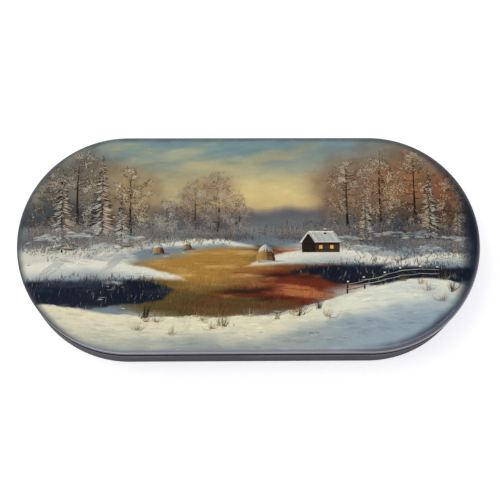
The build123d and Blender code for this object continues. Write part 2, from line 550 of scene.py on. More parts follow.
def new_mesh(name, points, *faces):
    """A mesh from an array of points and arrays of faces, each array's faces with as many corners."""
    corners = np.concatenate([group.ravel() for group in faces]).astype(np.int32)
    lengths = np.concatenate([np.full(len(group), group.shape[1]) for group in faces])
    mesh = bpy.data.meshes.new(name)
    mesh.vertices.add(len(points))
    mesh.vertices.foreach_set("co", np.asarray(points, np.float32).ravel())
    mesh.loops.add(len(corners))
    mesh.loops.foreach_set("vertex_index", corners)
    mesh.polygons.add(len(lengths))
    mesh.polygons.foreach_set("loop_start", (np.cumsum(lengths) - lengths).astype(np.int32))
    mesh.update(calc_edges=True)
    return mesh


def shell(name, section, columns, finishes=None, side=0, closed=True):
    """A section carried round the outline as a mesh with smooth faces and crisp edges. finishes has the
    number of the finish for each row of faces. A side of -1 or 1 cuts it for the hinge, below or above.
    An open section is closed along the middle line, where the rows of front, back and ends meet."""
    points = carried(section, columns)
    if side:
        points = hinge_cut(points, side)
    mesh = new_mesh(name, points.reshape(-1, 3), grid_faces(*points.shape[:2], closed))
    if finishes is not None:
        mesh.polygons.foreach_set("material_index", np.repeat(finishes, len(columns[0])).astype(np.int32))
    if not closed:
        work = bmesh.new()
        work.from_mesh(mesh)
        bmesh.ops.remove_doubles(work, verts=work.verts, dist=MERGE_GAP)
        work.to_mesh(mesh)
        work.free()
    mesh.polygons.foreach_set("use_smooth", np.ones(len(mesh.polygons), bool))
    mesh.set_sharp_from_angle(angle=radians(CRISP_ANGLE))
    return mesh


def new_piece(mesh, finishes, body, replaced=()):
    """An object for the mesh, dressed in its finishes, that rides on a body and stands for CAD nodes."""
    piece = bpy.data.objects.new(mesh.name, mesh)
    bpy.context.scene.collection.objects.link(piece)
    for finish in finishes:
        mesh.materials.append(finish)
    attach(piece, body)
    if replaced:
        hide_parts(*replaced)
    return piece


def hinge_cut(points, side):
    """Moves the seam's edge back to the bevel behind the hinge axis, and to the barrel's space within it.
    The bevel leaves the axis at its angle, and the space is a bar round the axis; side is -1 for the
    base, which is cut from above, and 1 for the lid."""
    slope = np.tan(np.radians(BEVEL_ANGLE))
    behind = points[..., 1] - HINGE.y
    bevel = HINGE.z + side * np.clip(behind, 0.0, None) * slope
    bar = HINGE.z + side * np.sqrt(np.clip(BARREL_SPACE**2 - behind**2, 0.0, None))
    cut = np.where(behind > 0, bevel, -side)
    within = (np.abs(points[..., 0]) < BARREL_REACH) & (np.abs(behind) < BARREL_SPACE)
    keep = np.maximum if side > 0 else np.minimum
    cut = np.where(within, np.where(behind > 0, keep(cut, bar), bar), cut)
    points[..., 2] = keep(points[..., 2], cut)
    return points


def base_wall_section(sizes):
    """Foot round, outer wall, rim round, rim, inner wall and the rabbet for the floor."""
    inner = HALF_WIDTH - sizes.wall
    lap = inner + sizes.floor_lap
    foot, rim = sizes.foot_round, sizes.rim_round
    return np.concatenate([
        arc((HALF_WIDTH - foot, foot), foot, -90, 0, 8),
        run((HALF_WIDTH, foot), (HALF_WIDTH, BASE_TOP - rim), 24)[1:-1],
        arc((HALF_WIDTH - rim, BASE_TOP - rim), rim, 0, 90, 10),
        run((HALF_WIDTH - rim, BASE_TOP), (inner, BASE_TOP), 16)[1:],
        [(inner, FLOOR_TOP), (lap, FLOOR_TOP), (lap, 0.0)],
    ])


def lid_ring_section(sizes):
    """Lip round, outer wall, the rabbet for the board, inner wall and lip."""
    inner = HALF_WIDTH - sizes.wall - RING_SPARE
    lap = HALF_WIDTH - sizes.wall + sizes.floor_lap
    lip = sizes.lip_round
    return np.concatenate([
        arc((HALF_WIDTH - lip, LID_BOTTOM + lip), lip, -90, 0, 10),
        run((HALF_WIDTH, LID_BOTTOM + lip), (HALF_WIDTH, RING_TOP), 10)[1:],
        [(lap, RING_TOP), (lap, LAP_HEIGHT), (inner, LAP_HEIGHT)],
        run((inner, LID_BOTTOM), (HALF_WIDTH - lip, LID_BOTTOM), 16)[:-1],
    ])


def collar_section(sizes):
    """The lining: glued to the wall, stepped in above the rim, eased at its top."""
    glued, ease = COLLAR_GLUED, sizes.collar_ease
    free = HALF_WIDTH - sizes.wall - sizes.lid_clearance
    inside = glued - sizes.collar_wall
    step = BASE_TOP - COLLAR_STEP
    return np.concatenate([
        [(glued, FLOOR_TOP), (glued, step), (free, step)],
        arc((free - ease, COLLAR_TOP - ease), ease, 0, 90, 6),
        arc((inside + ease, COLLAR_TOP - ease), ease, 90, 180, 6),
        run((inside, COLLAR_TOP - ease), (inside, FLOOR_TOP), 6)[1:],
    ])


def crown(sizes):
    """The crown's arc is level in the middle and meets the shoulder's. Gives its radius and centre height,
    the shoulder's centre as distance and height, and the distance where they meet."""
    reach = HALF_WIDTH - sizes.shoulder
    radius = (reach**2 + sizes.camber**2) / (2 * sizes.camber) + sizes.shoulder
    meet = reach + sizes.shoulder * reach / (radius - sizes.shoulder)
    return radius, CROWN_TOP - radius, reach, RING_TOP + sizes.board_edge, meet


def lid_height(sizes, distance):
    """Height of the ground coat at a distance from the middle line: the crown's arc, then the shoulder's."""
    radius, centre, reach, shoulder_z, meet = crown(sizes)
    dome = centre + np.sqrt(radius**2 - np.minimum(distance, meet) ** 2)
    roll = shoulder_z + np.sqrt(np.clip(sizes.shoulder**2 - (distance - reach) ** 2, 0.0, None))
    coat = sizes.paint_depth * np.where(distance < HALF_WIDTH, 1.0, 0.0)
    return np.where(distance < meet, dome, roll) - coat


def board_section(sizes, crown_rows, shoulder_rows):
    """The underside's flat and slope, the spigot, the upright edge, the shoulder and the crown.
    Also gives the row where the underside ends and the row where the picture starts."""
    radius, centre, reach, shoulder_z, meet = crown(sizes)
    inner, half_flat = HALF_WIDTH - sizes.wall, sizes.vault_flat
    flat, foot = (centre + sqrt(radius**2 - d**2) - sizes.board for d in (half_flat, inner))
    turn = np.degrees(np.arccos((meet - reach) / sizes.shoulder))
    slope = run((half_flat, flat), (inner, foot), 8)[1:]
    under = np.concatenate([run((0.0, flat), (half_flat, flat), 6), slope])
    spigot = [(inner, LAP_HEIGHT), (FLOOR_EDGE, LAP_HEIGHT), (FLOOR_EDGE, RING_TOP), (HALF_WIDTH, RING_TOP)]
    roll = arc((reach, shoulder_z), sizes.shoulder, 0, turn, shoulder_rows)
    roll[:, 1] -= sizes.paint_depth * np.clip(np.linspace(0, 3, len(roll)), 0, 1)
    distance = np.linspace(meet, 0, crown_rows + 1)[1:]
    dome = np.stack([distance, lid_height(sizes, distance)], 1)
    return np.concatenate([under, spigot, roll, dome]), len(under), len(under) + len(spigot)


# Painting: x and y are millimetres on the lid

def pair(x, y):
    """Places from their X and Y."""
    return np.stack(np.broadcast_arrays(x, y), -1)


def noise_at(x, y, width, height, seed):
    """Random levels on a lattice of this width and height, blended smoothly between its corners."""
    cells = 64
    levels = np.random.default_rng(seed).random((cells, cells))
    u, v = x / width, y / height
    i, j = np.floor(u).astype(int), np.floor(v).astype(int)
    u, v = u - i, v - j
    u, v = u * u * (3 - 2 * u), v * v * (3 - 2 * v)
    first, second = (
        levels[i % cells, k % cells] * (1 - u) + levels[(i + 1) % cells, k % cells] * u for k in (j, j + 1)
    )
    return first * (1 - v) + second * v


def clouds_at(x, y, width, height, seed, layers=4):
    """Layers of noise, each half the size and half the strength of the one before, from 0 to 1."""
    total = sum(noise_at(x, y, width / 2**n, height / 2**n, seed + n) / 2**n for n in range(layers))
    return total / (2 - 2 ** (1 - layers))


def ramp(low, high, value):
    """0 at low, 1 at high, smooth between. low may be the larger."""
    share = np.clip((value - low) / (high - low), 0, 1)
    return share * share * (3 - 2 * share)


def bell(value, middle, reach):
    """1 at middle, falling off on both sides as a bell about as wide as reach."""
    return np.exp(-(((value - middle) / reach) ** 2))


def mixed(first, second, share):
    """first where share is 0, second where it is 1, for arrays of colours."""
    share = np.asarray(share)[..., None]
    return first * (1 - share) + second * share


class Palette:
    """The pigments as painters judge them, evenly spaced to the eye, and back to light when laid."""

    def __init__(self, colours):
        for name in PictureColours.__annotations__:
            setattr(self, name, np.array(getattr(colours, name)) ** (1 / 2.2))

    def light(self, values):
        return np.clip(values, 0.0, 1.0) ** 2.2


def far_line(x):
    """Height of the far ridge above the middle of the picture: slow waves of noise."""
    return 8.5 + 5.0 * clouds_at(x, 0 * x, 34.0, 1.0, 11, 3)


def wood_line(x):
    """Height where the far wood meets the snow."""
    return 3.0 + 3.2 * clouds_at(x, 0 * x, 26.0, 1.0, 23, 3) - 2.2 * bell(x, -4, 24)


def drift_line(x):
    """Crest of the near snowdrift: low in the middle, rising to the right."""
    waves = 2.6 * clouds_at(x, 0 * x, 19.0, 1.0, 37, 3)
    return -28.5 + 13.5 * ramp(0.0, 64.0, x) - 3.0 * ramp(64.0, 84.0, x) + 4.5 * ramp(-34.0, -74.0, x) + waves


def lit_field(x, y):
    """Strength of the grass that the evening light picks out: an oblong patch with a ragged edge."""
    reach = np.sqrt(((x + 6) / 44) ** 2 + ((y + 14.5 - 0.06 * x) / 13.5) ** 2)
    return ramp(1.1, 0.78, reach + 0.42 * (clouds_at(x, y, 13.0, 3.0, 51) - 0.5))


def hollow(x, y):
    """Strength of the dark hollows: one under the wood at the right, one behind the drift at the left."""
    right = np.sqrt(((x - 50) / 31) ** 2 + ((y + 12.0) / 4.6) ** 2)
    left = np.sqrt(((x + 60) / 27) ** 2 + ((y + 18.5) / 5.4) ** 2)
    rough = 0.9 * (clouds_at(x, y, 8.0, 2.2, 61) - 0.5)
    return ramp(1.1, 0.84, np.minimum(right, left) + rough)


def from_spine(x, y, half_straight):
    """Distance of a place from the middle line, whose ends lie half_straight to each side."""
    return np.hypot(np.clip(np.abs(x) - half_straight, 0, None), y)


def framed(paint, values, x, y):
    """Colours turned towards the black ground near the edge: a breath wide at the front and the left,
    wider and navy at the right, black on the side of the shoulder, and a painted grey sheen there along
    the front."""
    margin = WIDTH_MM - from_spine(x, y, STRAIGHT_MM)
    inward = margin + 1.1 * (clouds_at(x, y, 6.0, 6.0, 71, 3) - 0.5)
    right = ramp(26.0, 70.0, x) * (1.0 - 0.7 * ramp(4.0, 22.0, y))
    front = ramp(-29.0, -37.0, y)
    width = 2.2 + 2.6 * right + 4.6 * ramp(58.0, 80.0, x) * ramp(-24.0, -6.0, y) + 1.0 * ramp(-60.0, -76.0, x)
    width = width + 0.7 * ramp(20.0, 36.0, y)
    share = ramp(1.0, 0.15, inward / width) * (0.5 + 0.42 * right - 0.3 * front * (1 - right))
    # painted sheen: along the front the shoulder's side is grey instead of black
    side = mixed(paint.navy * 0.4, paint.far_hill * [1.1, 1.06, 1.04], front * ramp(50.0, 30.0, x))
    return mixed(mixed(values, paint.navy, share), side, ramp(0.9, 0.3, margin))


def lacy(x, y, place, reach, grain, seed):
    """A soft mass about a place: an oblong that thins outwards and is broken up by noise of this grain."""
    around = ((x - place[0]) / reach[0]) ** 2 + np.abs((y - place[1]) / reach[1]) ** 2.4
    lace = clouds_at(x, y, grain, grain, seed, 4)
    return ramp(0.1, 0.85, np.exp(-around) * (0.2 + 1.35 * lace))


def sky_at(paint, x, y):
    """Evening sky: yellow light low in the middle, grey green to the left, dusk to the right, teal above,
    with slanting veils of cloud."""
    drift = clouds_at(x + 0.6 * y, y, 26.0, 8.0, 101)
    veil = clouds_at(x - 1.3 * y, y + 0.22 * x, 17.0, 4.5, 106)
    side = mixed(paint.sky_pale, paint.sky_dusk, ramp(-10.0, 60.0, x + 34 * (drift - 0.5)))
    glow = np.exp(-np.abs((x - 2) / 42) ** 2.2 - np.abs((y - 16.5) / 13) ** 2.2)
    sky = mixed(side, paint.glow, np.clip(glow * (0.7 + 0.6 * drift) + 0.5 * (veil - 0.5) * glow, 0, 1))
    top = ramp(19.0, 36.0, y + 9 * (drift - 0.5) + 7 * (veil - 0.5))
    sky = mixed(sky, paint.sky_top, top * (0.95 - 0.35 * ramp(30, 70, np.abs(x))))
    cloud = ramp(0.5, 0.74, clouds_at(x + 1.6 * y, y - 0.1 * x, 30.0, 5.0, 103)) * ramp(15.0, 23.0, y)
    sky = mixed(sky, mixed(paint.glow, paint.sky_dusk, ramp(-20.0, 60.0, x)), cloud * 0.5)
    sky = mixed(sky, paint.peach, bell(y, 10, 4.0) * 0.4 * bell(x, 12, 50))
    fine = clouds_at(x - y, y, 5.0, 1.8, 111, 3)
    return sky + 0.09 * (drift[..., None] - 0.5) + 0.07 * (fine[..., None] - 0.5)


def wood_light(x):
    """How light falls on the woods: grey green at the left end, warm grey at the right, plain between."""
    tint = mixed(np.array([1.14, 1.17, 1.1]), np.array([1.13, 1.16, 1.06]), ramp(-10.0, 10.0, x))
    return mixed(np.ones(3), tint, ramp(20.0, 36.0, np.abs(x)))


# Soft masses of the woods, back to front: middle, reach, pigment and its lightness, strength, seed
MASSES = (
    ((-62, 17), (24, 20), "spruce_mid", 1.3, 0.8, 151),
    ((-40, 13), (14, 14), "larch_light", 0.85, 0.6, 152),
    ((-15, 13), (12, 12), "larch_light", 0.9, 0.65, 153),
    ((38, 17), (14, 18), "larch", 1.1, 0.8, 154),
    ((60, 18), (22, 20), "larch", 1.15, 0.85, 155),
    ((54, 22), (13, 8), "copper", 0.85, 0.45, 161),
    ((70, 16), (10, 9), "rust", 1.15, 0.35, 162),
    ((-46, 22), (12, 7), "larch_light", 0.95, 0.5, 163),
    ((66, 6), (19, 9), "larch", 0.7, 0.8, 156),
    ((30, 4), (22, 5), "mist", 0.85, 0.7, 157),
    ((56, 2.5), (27, 6), "far_hill", 0.55, 0.9, 158),
    ((-30, 4), (22, 5), "mist", 0.9, 0.6, 159),
    ((-68, 6), (17, 9), "far_hill", 0.66, 0.8, 160),
    ((-52, 3), (13, 6), "spruce_deep", 2.2, 0.6, 164),
    ((-16, 4), (12, 5), "far_hill", 0.72, 0.6, 165),
    ((42, 4), (12, 6), "spruce_deep", 2.4, 0.55, 166),
)


def far_land(paint, ground, x, y):
    """Far ridge, the mist below it, and the soft masses of the woods, laid over the sky."""
    ridge = mixed(paint.far_hill, paint.mist, ramp(9.0, 3.0, y))
    ridge = ridge + 0.12 * (clouds_at(x, y, 9.0, 3.0, 141)[..., None] - 0.5)
    crowns = 2.6 * (clouds_at(x, y * 0.4, 5.0, 5.0, 147, 3) - 0.5)
    ground = mixed(ground, ridge, ramp(-2.4, 1.6, far_line(x) + crowns - y) * 0.85)
    for place, reach, pigment, lightness, cover, seed in MASSES:
        mass = lacy(x, y, place, reach, 7.0, seed)
        lace = clouds_at(x, y, 2.6, 2.6, seed + 20, 3)
        tone = getattr(paint, pigment) * lightness * (0.8 + 0.4 * lace[..., None]) * wood_light(x)
        ground = mixed(ground, tone, mass * cover)
    return ground


# Banks of snow, back to front: middle, half length, rise, foot and seed
BANKS = (
    (-17, 18, 2.6, -2.2, 211), (70, 22, 4.6, -9.5, 215), (27, 26, 5.6, -8.6, 219), (-60, 36, 6.6, -13.5, 223),
)


def mound(paint, ground, x, y, middle, half, rise, foot, seed):
    """A bank of snow over the ground: cream along its crest, blue grey below."""
    waves = clouds_at(x, 0 * x, 9.0, 1.0, seed, 3) - 0.5
    crest = foot + rise * (1 - ((x - middle) / half) ** 2) + 1.3 * waves
    depth = crest - y
    ragged = y - foot + 1.2 * (clouds_at(x, y, 7.0, 2.0, seed + 1) - 0.5)
    body = ramp(-0.35, 0.45, depth) * ramp(-1.4, 0.6, ragged)
    shadow = ramp(0.25 * rise, 1.2 * rise, depth + 3.0 * (clouds_at(x, y, 11.0, 4.0, seed + 2) - 0.5))
    return mixed(ground, mixed(paint.snow, paint.snow_shade * 1.05, shadow * 0.85), body)


def field_at(paint, x, y):
    """Hollowed snow that fades into haze, with the lit grass, the burnt bracken and the dark hollows."""
    hollows = ramp(0.36, 0.62, clouds_at(x, y * 1.5, 24.0, 7.0, 171, 3))
    haze = mixed(paint.mist * 0.92, paint.far_hill * 0.66, ramp(24.0, 52.0, x))
    fog = ramp(-5.0, 3.0, y) * (0.8 + 0.15 * ramp(24.0, 52.0, x))
    field = mixed(mixed(paint.snow_shade, paint.snow * 0.93, hollows), haze, fog)
    streaks = clouds_at(x, y + 0.06 * x, 24.0, 3.2, 181)
    shine = np.exp(-(((x + 14) / 22) ** 2) - ((y + 8.5) / 8) ** 2) * (0.5 + streaks)
    turned = shine + 0.5 * (clouds_at(x, y, 15.0, 3.4, 191) - 0.35)
    earth = mixed(paint.olive, paint.amber, ramp(0.1, 0.75, turned))
    burnt = ramp(0.3, 0.74, 0.7 * streaks + 0.012 * (x + 10) - 0.012 * (y + 14))
    bracken = mixed(paint.rust, paint.copper, ramp(0.5, 0.72, clouds_at(x, y + 0.1 * x, 16.0, 2.2, 193)))
    bracken = mixed(bracken, paint.timber * 0.6, ramp(0.44, 0.68, clouds_at(x, y, 19.0, 2.6, 197)) * 0.8)
    earth = mixed(earth, bracken, burnt)
    light = ramp(0.5, 0.78, clouds_at(x, y, 12.0, 1.6, 201)) * ramp(0.15, 0.7, shine)
    field = mixed(field, mixed(earth, paint.straw, light * 0.7), lit_field(x, y))
    grey = ramp(0.45, 0.8, clouds_at(x, y, 14.0, 2.2, 205)) * ramp(20.0, -50.0, x)
    return mixed(field, mixed(paint.navy, paint.far_hill * 0.75, grey), hollow(x, y) * 0.96)


def picture_at(paint, x, y):
    """The whole picture in broad, soft colour, back to front."""
    ground = far_land(paint, sky_at(paint, x, y), x, y)
    ground = mixed(ground, field_at(paint, x, y), ramp(-0.9, 0.9, wood_line(x) - y))
    for bank in BANKS:
        ground = mound(paint, ground, x, y, *bank)
    crest = drift_line(x) - y
    swell = crest + 9.0 * (clouds_at(x, y, 17.0, 4.2, 231, 3) - 0.5)
    cool = ramp(0.0, 50.0, x)
    lit = mixed(paint.snow * [1.02, 1.0, 0.93], paint.snow * [1.0, 1.02, 1.02], cool)
    shaded = mixed(paint.snow_shade * [1.06, 1.03, 0.98], paint.snow_shade * [1.0, 1.05, 1.12], cool)
    near = mixed(lit, shaded, ramp(3.0, 12.5, swell) * 0.72)
    return mixed(ground, near, ramp(-0.4, 0.4, crest))


def add_paint(mesh, values):
    """Keeps a colour for each point in the mesh's paint attribute."""
    layer = mesh.color_attributes.new("paint", "FLOAT_COLOR", "POINT")
    full = np.concatenate([values, np.ones((len(values), 1))], 1)
    layer.data.foreach_set("color", full.astype(np.float32).ravel())


def tones(rng, first, second, count, spread=0.05):
    """Colours between first and second at random, each a little lighter or darker than the mix."""
    return mixed(first, second, rng.random(count)) + rng.normal(0, spread, (count, 1))


def curve(start, end, bend, points=4):
    """Routes from start to end, pushed sideways by bend times their length at the middle."""
    share = np.linspace(0, 1, points)[None, :, None]
    way = end - start
    side = pair(-way[:, 1], way[:, 0]) * np.atleast_1d(bend)[:, None]
    return start[:, None] + way[:, None] * share + side[:, None] * (4 * share * (1 - share))


def taper(half_width, shape):
    """Half widths of strokes by points, from each stroke's own and a shape along it."""
    return np.atleast_1d(half_width)[:, None] * np.asarray(shape)


def dabs(rng, centres, length, half_width, turn, spread):
    """Short strokes of two points about their centres, at a random angle near turn in radians, each
    narrower at its second end."""
    angle = turn + rng.normal(0, spread, len(centres))
    half = 0.5 * length * rng.uniform(0.6, 1.2, len(centres))
    way = pair(np.cos(angle), np.sin(angle)) * half[:, None]
    widths = half_width * rng.uniform(0.6, 1.25, len(centres))
    return np.stack([centres - way, centres + way], 1), taper(widths, (1.0, 0.3))


def scattered(rng, count, across, rise):
    """Places at random within ranges of X and Y."""
    return pair(rng.uniform(*across, count), rng.uniform(*rise, count))


# Layers of strokes: lift of the first stroke over the lid in mm, how much higher the last one lies, and
# the share of the colour below that they hide
LAYERS = {
    "far wood": (0.012, 0.006, 0.74),
    "far frost": (0.018, 0.003, 0.6),
    "long grass": (0.024, 0.003, 0.6),
    "open snow": (0.0245, 0.003, 0.7),
    "tree shadows": (0.0275, 0.001, 0.4),
    "grass": (0.028, 0.009, 0.7),
    "field snow": (0.038, 0.002, 0.6),
    "stack shadow": (0.04, 0.002, 0.55),
    "straw": (0.046, 0.004, 0.88),
    "stack snow": (0.052, 0.002, 0.9),
    "undergrowth": (0.052, 0.005, 0.5),
    "reeds": (0.0525, 0.005, 0.75),
    "stems": (0.0575, 0.002, 0.7),
    "mounds": (0.0585, 0.001, 0.6),
    "drifts": (0.06, 0.009, 0.75),
    "logs": (0.062, 0.0015, 1.0),
    "log gaps": (0.0645, 0.0005, 1.0),
    "gable": (0.0655, 0.0005, 1.0),
    "window frames": (0.0655, 0.0, 1.0),
    "panes": (0.0658, 0.0, 1.0),
    "glazing bars": (0.0661, 0.0, 1.0),
    "eaves shadow": (0.0662, 0.0, 1.0),
    "roof": (0.0665, 0.001, 1.0),
    "roof edges": (0.0676, 0.0, 1.0),
    "gable snow": (0.068, 0.0005, 1.0),
    "chimney": (0.0685, 0.0, 1.0),
    "chimney snow": (0.069, 0.0, 1.0),
    "rails": (0.07, 0.001, 0.92),
    "rail snow": (0.0715, 0.001, 0.85),
    "posts": (0.073, 0.001, 0.95),
    "post snow": (0.0745, 0.001, 1.0),
    "tufts": (0.077, 0.003, 0.8),
    "tall grass": (0.0805, 0.002, 0.85),
}

# The same lift for the near trees and the first wisp of smoke, the step between wisps, and the haze on
# the near spruces
LARCH_LIFT = 0.021
SPRUCE_LIFT = 0.036
SMOKE_LIFT = 0.0605
SMOKE_STEP = 0.0002
SPRUCE_HAZE = 0.05


class Strokes:
    """Strokes gathered for one piece, with the pigments and the chance that they draw on. Each set has
    routes of the same number of points."""

    def __init__(self, context, seed):
        self.paint = Palette(context.scene.picture_colours)
        self.sizes = context.scene.lacquer_sizes
        self.finish = finish_named(context, "picture_paint")
        self.rng = np.random.default_rng(seed)
        self.points, self.flanks, self.tops, self.colours = [], [], [], []
        self.count = 0

    def lay(self, route, half_width, values, layer):
        """Lays strokes. route is strokes by points by 2; half_width is by stroke and point, or less; values
        are colours by stroke or by point, or one; layer is the name of one of the LAYERS, or its three
        numbers. A stroke's section is a flat top across the route, on the lid's surface plus its lift,
        over a keel sunk in the board."""
        level, depth, cover = LAYERS[layer] if isinstance(layer, str) else layer
        route = np.asarray(route, float)
        length = route.shape[1]
        width = np.broadcast_to(half_width, route.shape[:2])
        values = values if np.ndim(values) == 3 else np.atleast_2d(values)[:, None, :]
        values = np.broadcast_to(values, (*route.shape[:2], 3))
        inside = from_spine(route[..., 0], route[..., 1], STRAIGHT_MM).max(1) < WIDTH_MM - BARE_EDGE
        route, width, values = route[inside], width[inside], values[inside]
        count = len(route)
        if not count:
            return
        x, y = route[..., 0], route[..., 1]
        if cover < 1:
            values = mixed(picture_at(self.paint, x, y), values, cover)
        values = framed(self.paint, values, x, y)
        tangent = np.gradient(route, axis=1)
        tangent /= np.maximum(np.linalg.norm(tangent, axis=-1, keepdims=True), 1e-9)
        across = pair(-tangent[..., 1], tangent[..., 0]) * width[..., None]
        flat = np.stack([route + across, route - across, route], 2)
        distance = from_spine(flat[..., 0] * MM, flat[..., 1] * MM, HALF_STRAIGHT)
        lift = np.linspace(level, level + depth, count)[:, None, None] * MM
        height = lid_height(self.sizes, distance) + lift - np.array([0.0, 0.0, KEEL * MM])
        self.points.append(np.concatenate([flat * MM, height[..., None]], -1).reshape(-1, 3))
        self.colours.append(np.repeat(values, 3, axis=1).reshape(-1, 3))
        first = self.count + 3 * length * np.arange(count)
        last = first + 3 * (length - 1)
        left = first[:, None] + 3 * np.arange(length - 1)
        right, keel = left + 1, left + 2
        self.tops.append(faces_of(right, right + 3, left + 3, left))
        self.flanks.append(faces_of(right, keel, keel + 3, right + 3))
        self.flanks.append(faces_of(left + 3, keel + 3, keel, left))
        self.flanks.append(faces_of(first + 1, first, first + 2, first + 2))
        self.flanks.append(faces_of(last, last + 1, last + 2, last + 2))
        self.count += 3 * length * count

    def streaks(self, start, end, widths, shape, values, bend, layer):
        """Lays curved strokes from start to end. widths is the range of their half widths. values are
        colours, or two colours and a spread for tones. bend is how far each swells, or the middle and the
        spread of that."""
        half = taper(self.rng.uniform(*widths, len(start)), shape)
        if isinstance(values, tuple):
            first, second, spread = values
            values = tones(self.rng, first, second, len(start), spread)
        if isinstance(bend, tuple):
            bend = self.rng.normal(*bend, len(start))
        self.lay(curve(start, end, bend, len(shape)), half, values, layer)

    def piece(self, name):
        """The gathered strokes as one piece on the lid, tops last, with a flat map for its colours."""
        points = np.concatenate(self.points)
        faces = np.concatenate([*self.flanks, *self.tops])
        ends = faces[:, 2] == faces[:, 3]
        mesh = new_mesh(name, points, faces[ends][:, :3], faces[~ends])
        mesh.polygons.foreach_set("use_smooth", np.zeros(len(mesh.polygons), bool))
        add_paint(mesh, self.paint.light(np.concatenate(self.colours)))
        corners = np.empty(len(mesh.loops), np.int32)
        mesh.loops.foreach_get("vertex_index", corners)
        places = points[corners, :2] / (2 * HALF_LENGTH) + 0.5
        mesh.uv_layers.new(name="OFBake").data.foreach_set("uv", places.astype(np.float32).ravel())
        return new_piece(mesh, [self.finish], "lid")


def spruce_boughs(rng, tree, count, share_out):
    """Boughs of a spruce, lowest first. A tree is foot X, foot Y, height and half spread. A bough leaves the
    trunk at its share of the way down, reaches out by the spread times that share, saw-toothed by tier,
    and falls as it goes by a parabola that lifts its tip. Also gives its share of the way down, and 1 on
    the side that is lit."""
    foot_x, foot_y, height, spread = tree
    tiers, light_x = 10, 6.0
    down = np.sort(rng.random(count) ** 0.62)[::-1]
    tooth = 0.6 + 0.4 * (down * tiers % 1)
    side = rng.choice((-1.0, 1.0), count)
    skirt = ramp(0.86, 1.0, down)
    reach = spread * (0.04 + 0.96 * down) * tooth * rng.uniform(0.35, 1.0, count)
    reach = reach * share_out * (1 - 0.3 * skirt)
    start = rng.uniform(0.0, 0.55, count) * reach
    start_y = foot_y + height * (1.0 - 0.93 * down) + 0.16 * spread * tooth
    share = np.linspace(0, 1, 4)
    x = foot_x + side[:, None] * (start[:, None] + (reach - start)[:, None] * share)
    fall = rng.uniform(0.3, 0.6, count) * (1 - 0.75 * skirt)
    along = np.abs(x - foot_x)
    y = start_y[:, None] - fall[:, None] * along * (1.35 - 0.5 * share) + rng.normal(0, 0.12, count)[:, None]
    return pair(x, y), down, 0.5 + 0.5 * side * np.sign(light_x - foot_x)


def paint_spruce(strokes, tree, count, level, haze):
    """Trunk, dark inner boughs, grey brown boughs and frosted tips."""
    paint, rng, spread = strokes.paint, strokes.rng, tree[3]
    foot = np.array([tree[:2]], float)
    top = foot + [0, tree[2]]
    trunk = mixed(paint.timber * 0.55, paint.mist, haze)
    bend = rng.normal(0, 0.006, 1)
    slim = taper(spread * 0.045, (1, 0.75, 0.45, 0.1))
    strokes.lay(curve(mixed(foot, top, 0.07), top, bend), slim, trunk, (level, 0.006, 1.0))
    plans = (
        (1.0, 1.0, 0.0, 0.32, paint.spruce_deep * 0.8, paint.spruce_mid * 0.7, 0.92),
        (0.97, 0.62, 0.15, 0.2, paint.spruce_mid * 0.9, paint.larch, 0.8),
        (0.95, 0.5, 0.40, 0.15, paint.frost * 0.8, paint.frost * 1.22, 0.85),
    )
    for order, (share_out, share, raised, width, first, second, cover) in enumerate(plans):
        route, down, lit = spruce_boughs(rng, tree, int(count * share), share_out)
        route[..., 1] += raised
        values = tones(rng, first, second, len(route), 0.04)
        values = mixed(values, paint.peach, 0.3 * lit * (order > 0)) * wood_light(route[:, 0, 0]) ** 0.5
        values = mixed(values, paint.mist, haze)
        half = width * (0.5 + 0.75 * down) * rng.uniform(0.5, 1.2, len(route)) * spread / 8.5
        layer = (level + 0.005 + 0.005 * order, 0.0045, cover)
        strokes.lay(route, taper(half, (0.6, 1.0, 0.8, 0.2)), values, layer)


